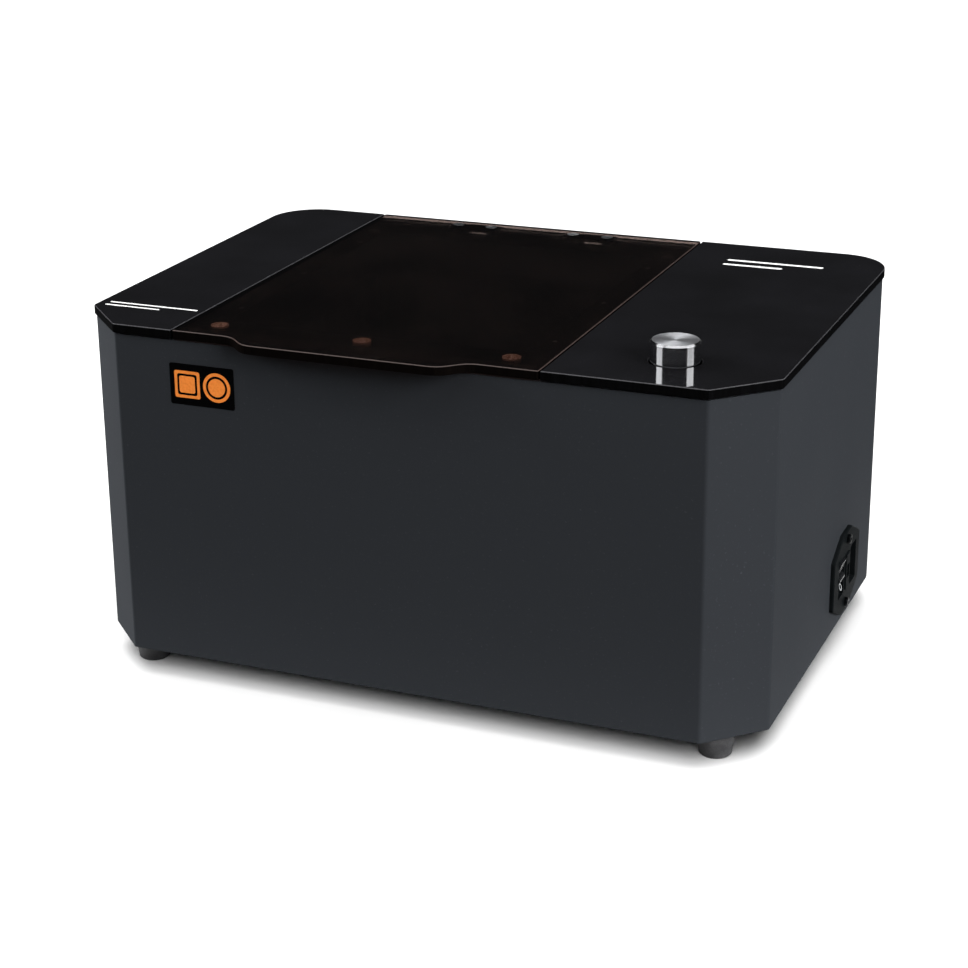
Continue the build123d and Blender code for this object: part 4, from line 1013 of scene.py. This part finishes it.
@dataclass
class Controls:
    """The push-and-turn knob with its encoder, and the fan at the back."""

    slack: float = 0.05 * MM  # between the stem and its bore
    recess: float = 8.0 * MM
    recess_depth: float = 2.0 * MM
    rim: float = 1.0 * MM
    dish: float = 0.35 * MM  # the top is faced a little hollow
    turns: int = 128
    crease: float = math.radians(35)

    def build(self, frame: Frame) -> None:
        """Dresses the knob, the encoder and the fan.
        """
        dress(frame, KNOB_METAL, ["knob"])
        self.turn_knob()
        dress(frame, EXTRUSION, ["encoder_stem"])
        dress(frame, SWITCH_PLASTIC, ["encoder_body", "encoder_plunger"])
        dress(frame, BRASS, ["encoder_nut"])
        dress(frame, STAINLESS, ["knob_grub_screw", "fan_screws"])
        dress(frame, FAN_PLASTIC, ["fan_frame", "fan_rotor"])

    def turn_knob(self) -> None:
        """Turns the knob on the lathe, with a bright chamfered rim and the bore for its stem."""
        low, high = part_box("knob")
        stem_low, stem_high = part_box("encoder_stem")
        middle = (low + high) / 2
        radius = (high.x - low.x) / 2
        bore = (stem_high.x - stem_low.x) / 2 + self.slack
        # The corners beside the rim's own keep its bevel off the rest of the side and the top.
        outline = [
            (0, stem_high.z + self.slack),
            (bore, stem_high.z + self.slack),
            (bore, low.z + self.recess_depth),
            (self.recess, low.z + self.recess_depth),
            (self.recess, low.z),
            (radius, low.z),
            (radius, low.z + 3 * self.rim),
            (radius, high.z - 2 * self.rim),
            (radius, high.z),
            (radius - 2 * self.rim, high.z),
            (0, high.z - self.dish),
        ]
        shape = bmesh.new()
        corners = [shape.verts.new((middle.x + across, middle.y, up)) for across, up in outline]
        edges = [shape.edges.new(pair) for pair in zip(corners, corners[1:])]
        bmesh.ops.spin(
            shape,
            geom=corners + edges,
            cent=(middle.x, middle.y, 0),
            axis=(0, 0, 1),
            angle=2 * math.pi,
            steps=self.turns,
            use_merge=True,
        )
        bmesh.ops.remove_doubles(shape, verts=shape.verts, dist=WELD)
        crest = [
            edge
            for edge in shape.edges
            if all(abs(vert.co.z - high.z) < CLOSE for vert in edge.verts)
            and all(math.hypot(*(vert.co - middle).xy) > radius - CLOSE for vert in edge.verts)
        ]
        break_edges(shape, crest, self.rim, 1)
        piece = add_piece("turned_knob", shape, [KNOB_METAL], "knob", smooth=True)
        sharpen(piece, self.crease)
        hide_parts("knob")


@dataclass
class MainsInlet:
    """The mains inlet with its rocker switch, whose two ends carry a bar and a ring."""

    pivot: Place = (200.0 * MM, 39.1 * MM, 46.9 * MM)
    tilt: float = math.radians(8)  # how far the rocker lies over at rest
    slope: float = math.atan2(1.6, 10.6)  # of the rocker's two halves, as rise and run
    seat: Span = (0.44 * MM, 5.6 * MM)  # from the pivot to a mark, outwards and along the rocker
    ink: float = 0.04 * MM
    bar: Span = (0.8 * MM, 4.4 * MM)  # across and along
    ring: float = 2.2 * MM
    hole: float = 0.64  # the ring's inner radius, as a share of its outer one
    ring_sides: int = 40

    def build(self, frame: Frame) -> None:
        """Dresses the inlet and marks its switch.
        """
        dress(frame, INLET_NYLON, ["inlet_body", "fuse_drawer"])
        dress(frame, BLACK_OXIDE, ["inlet_screws", "inlet_nuts"])
        dress(frame, BRASS, ["inlet_pins"])
        dress(frame, FUSE_GLASS, ["fuse"])
        dress(frame, ROCKER_PLASTIC, ["rocker"])
        bar = bmesh.new()
        bmesh.ops.create_cube(bar, size=1, matrix=Matrix.Diagonal((self.ink, *self.bar, 1)))
        self.print_mark("rocker_bar", bar, 1)
        self.print_mark("rocker_ring", self.draw_ring(), -1)

    def draw_ring(self) -> Shape:
        """Makes a flat ring at the origin that faces +X.

        Returns:
            The ring's mesh.
        """
        ring = bmesh.new()
        bmesh.ops.create_circle(ring, segments=self.ring_sides, radius=self.ring)
        made = bmesh.ops.extrude_edge_only(ring, edges=ring.edges[:])["geom"]
        inner = [item for item in made if isinstance(item, bmesh.types.BMVert)]
        bmesh.ops.scale(ring, vec=(self.hole, self.hole, 1), verts=inner)
        skin = bmesh.ops.extrude_face_region(ring, geom=ring.faces[:])["geom"]
        lifted = [item for item in skin if isinstance(item, bmesh.types.BMVert)]
        bmesh.ops.translate(ring, vec=(0, 0, self.ink), verts=lifted)
        bmesh.ops.rotate(ring, matrix=Matrix.Rotation(math.pi / 2, 3, "Y"), verts=ring.verts)
        return ring

    def print_mark(self, name: str, mark: Shape, end: int) -> None:
        """Moves a mark from the origin, where it faces +X, onto one end of the rocker.

        Args:
            name: The piece's name.
            mark: The mark's mesh.
            end: 1 for the upper end of the rocker, -1 for the lower one.
        """
        out, along = self.seat
        rest = Matrix.Rotation(-self.tilt, 4, "Y")
        lean = Matrix.Rotation(end * self.slope, 4, "Y")
        half = rest @ Matrix.Translation((out, 0, end * along)) @ lean
        bmesh.ops.transform(mark, matrix=Matrix.Translation(self.pivot) @ half, verts=mark.verts)
        add_piece(name, mark, [GREY_INK], "rocker")


@dataclass
class Electronics:
    """The supplies and the control board on the base plate."""

    def build(self, frame: Frame) -> None:
        """Dresses the supplies and the board.
        """
        dress(frame, CASE_ALUMINIUM, ["power_supply"])
        dress(frame, EXTRUSION, ["led_driver"])
        dress(frame, STAINLESS, ["supply_screws", "board_screws"])
        dress(frame, BRASS, ["board_standoffs"])
        dress(frame, BOARD_GREEN, ["control_board"])
        dress(frame, PARTS_PLASTIC, ["board_components"])


# ---- Studio -----------------------------------------------------------------------------
@dataclass
class Lamp:
    """One soft box on a stand, aimed at the unit."""

    name: str
    azimuth: float
    elevation: float
    distance: float
    width: float
    height: float
    glow: float  # how bright its face is, where the lit floor is about 1
    light: Light = Light.BOTH
    reach: Reach = Reach.UNIT
    aim: Place = (0, 0, 0.2)  # near the unit's top

    def hang(self, floor: bpy.types.Object) -> None:
        """Adds the lamp to the scene.

        Args:
            floor: The floor, which takes its light or doesn't.
        """
        data = bpy.data.lights.new(self.name, "AREA")
        data.shape = "RECTANGLE"
        data.size, data.size_y = self.width, self.height
        data.energy = self.glow * math.pi * self.width * self.height
        lamp = bpy.data.objects.new(self.name, data)
        bpy.context.scene.collection.objects.link(lamp)
        turn, rise = math.radians(self.azimuth), math.radians(self.elevation)
        level = math.cos(rise)
        away = Vector((math.cos(turn) * level, math.sin(turn) * level, math.sin(rise)))
        lamp.location = self.distance * away + Vector(self.aim)
        lamp.rotation_euler = (-away).to_track_quat("-Z", "Y").to_euler()
        lamp.visible_camera = False
        lamp.visible_diffuse, lamp.visible_glossy, lamp.visible_transmission = self.light.value
        receivers = bpy.data.collections.new(f"{self.name}_receivers")
        receivers.objects.link(floor)
        receivers.collection_objects[0].light_linking.link_state = self.reach.value
        lamp.light_linking.receiver_collection = receivers


@dataclass
class Studio:
    """A white floor under soft lamps, with the camera before the unit's right corner."""

    eye: Place = (0.47095, -1.17145, 0.56005)
    yaw: float = math.radians(23.73)
    pitch: float = math.radians(20.06)
    roll: float = math.radians(-1.02)
    lens: float = 84.70
    sensor: float = 36.0
    shift: Span = (0.0620, -0.0103)
    sight: float = 60.0  # the furthest that the camera sees, in metres
    floor_radius: float = 14.0
    floor_sides: int = 64
    sky: str = "#1b1b1c"
    backdrop: str = "#ffffff"
    lamps: list[Lamp] = field(
        default_factory=lambda: [
            Lamp("right_box", -2, 24, 2.6, 1.5, 0.8, 4.5, Light.GLOSS),
            Lamp("left_box", -146, 24, 2.6, 1.4, 0.8, 4.5),
            Lamp("corner_fill", -22, 22, 2.6, 1.6, 1.2, 25.0, Light.MATT),
            Lamp("left_fill", -176, 22, 2.6, 1.4, 1.2, 33.0, Light.MATT),
            Lamp("back_fill", 100, 20, 2.6, 1.6, 1.2, 11.0, Light.MATT),
            Lamp("back_box", 112, 50, 2.8, 0.9, 0.8, 7.0, Light.GLOSS),
            Lamp("front_box", -72, 64, 2.6, 3.0, 1.5, 1.1, Light.GLOSS),
            Lamp("right_high", 8, 46, 2.6, 2.4, 1.3, 1.0, Light.GLOSS),
            Lamp("left_high", -152, 46, 2.6, 2.4, 1.3, 1.0, Light.GLOSS),
            Lamp("floor_fill", -72, 38, 2.6, 2.6, 1.5, 6.4, Light.MATT, Reach.FLOOR),
        ]
    )
    sun_power: float = 4.7
    sun_spread: float = math.radians(80)
    sun_from: Place = (-0.06, 0.36, 2.0)
    # Each card's left, right, near and far edge.
    cards: dict[str, Edges] = field(
        default_factory=lambda: {
            "front_card": (-2.6, 2.6, -2.4, -0.2),
            "side_card": (0.24, 2.6, -0.2, 2.4),
        }
    )
    card_lift: float = 2 * MM

    def build(self) -> None:
        """Lays the floor, hangs the lamps and sets up the camera."""
        floor = self.lay_floor()
        for name in self.cards:
            self.lay_card(name)
        for lamp in self.lamps:
            lamp.hang(floor)
        self.hang_sun()
        self.colour_sky()
        self.set_camera()
        view = bpy.context.scene.view_settings
        view.view_transform = "Standard"
        view.look = "None"

    def lay_floor(self) -> bpy.types.Object:
        """Lays a round white floor.

        Returns:
            The floor.
        """
        shape = bmesh.new()
        bmesh.ops.create_circle(
            shape, cap_ends=True, segments=self.floor_sides, radius=self.floor_radius
        )
        floor = add_object("studio_floor", shape, [FLOOR])
        return floor

    def lay_card(self, name: str) -> None:
        """Lays a black card by the unit, so that its faces take and mirror less of the floor.

        Args:
            name: The card's name among the cards.
        """
        left, right, near, far = self.cards[name]
        shape = bmesh.new()
        size = Matrix.Diagonal(((right - left) / 2, (far - near) / 2, 1, 1))
        middle = Matrix.Translation(((left + right) / 2, (near + far) / 2, self.card_lift))
        bmesh.ops.create_grid(shape, x_segments=1, y_segments=1, size=1, matrix=middle @ size)
        card = add_object(name, shape, [CARD])
        card.visible_camera = False
        card.visible_shadow = False
        card.visible_transmission = False

    def hang_sun(self) -> None:
        """Hangs one wide overhead light that reaches all of the floor evenly."""
        data = bpy.data.lights.new("overhead", "SUN")
        data.energy, data.angle = self.sun_power, self.sun_spread
        lamp = bpy.data.objects.new("overhead", data)
        bpy.context.scene.collection.objects.link(lamp)
        matt = Light.MATT.value
        lamp.visible_diffuse, lamp.visible_glossy, lamp.visible_transmission = matt
        lamp.location = self.sun_from
        lamp.rotation_euler = (-Vector(self.sun_from)).to_track_quat("-Z", "Y").to_euler()

    def colour_sky(self) -> None:
        """Puts a white backdrop behind the floor, and an even dim grey in what gloss mirrors."""
        world = bpy.data.worlds.new("studio_world")
        world.use_nodes = True
        tree = world.node_tree
        tree.nodes.clear()
        dim, white = [
            add_node(tree, "ShaderNodeBackground", {"Color": linear(colour), "Strength": 1.0})
            for colour in (self.sky, self.backdrop)
        ]
        seen = add_node(tree, "ShaderNodeLightPath").outputs["Is Camera Ray"]
        both = add_node(tree, "ShaderNodeMixShader", {0: seen, 1: dim, 2: white})
        add_node(tree, "ShaderNodeOutputWorld", {"Surface": both})
        bpy.context.scene.world = world

    def set_camera(self) -> None:
        """Sets the camera at its place, turned by yaw, pitch and roll."""
        level = Vector((math.cos(self.yaw), math.sin(self.yaw), 0))
        north = Vector((-math.sin(self.yaw), math.cos(self.yaw), 0))
        ahead = math.cos(self.pitch) * north - math.sin(self.pitch) * Vector((0, 0, 1))
        upward = level.cross(ahead)
        right = math.cos(self.roll) * level + math.sin(self.roll) * upward
        upward = math.cos(self.roll) * upward - math.sin(self.roll) * level
        data = bpy.data.cameras.new("camera")
        data.lens, data.sensor_width = self.lens, self.sensor
        data.shift_x, data.shift_y = self.shift
        data.clip_end = self.sight
        camera = bpy.data.objects.new("camera", data)
        bpy.context.scene.collection.objects.link(camera)
        turned = Matrix((right, upward, -ahead)).transposed().to_4x4()
        camera.matrix_world = Matrix.Translation(self.eye) @ turned
        bpy.context.scene.camera = camera


def main() -> None:
    """Builds the dressed unit in its studio."""
    logging.basicConfig(level=logging.INFO, format="%(name)s: %(message)s")
    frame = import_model()
    for part in (Casing(), TopDeck(), Chamber(), Controls(), MainsInlet(), Electronics()):
        part.build(frame)
    Studio().build()


if __name__ == "__main__":
    main()
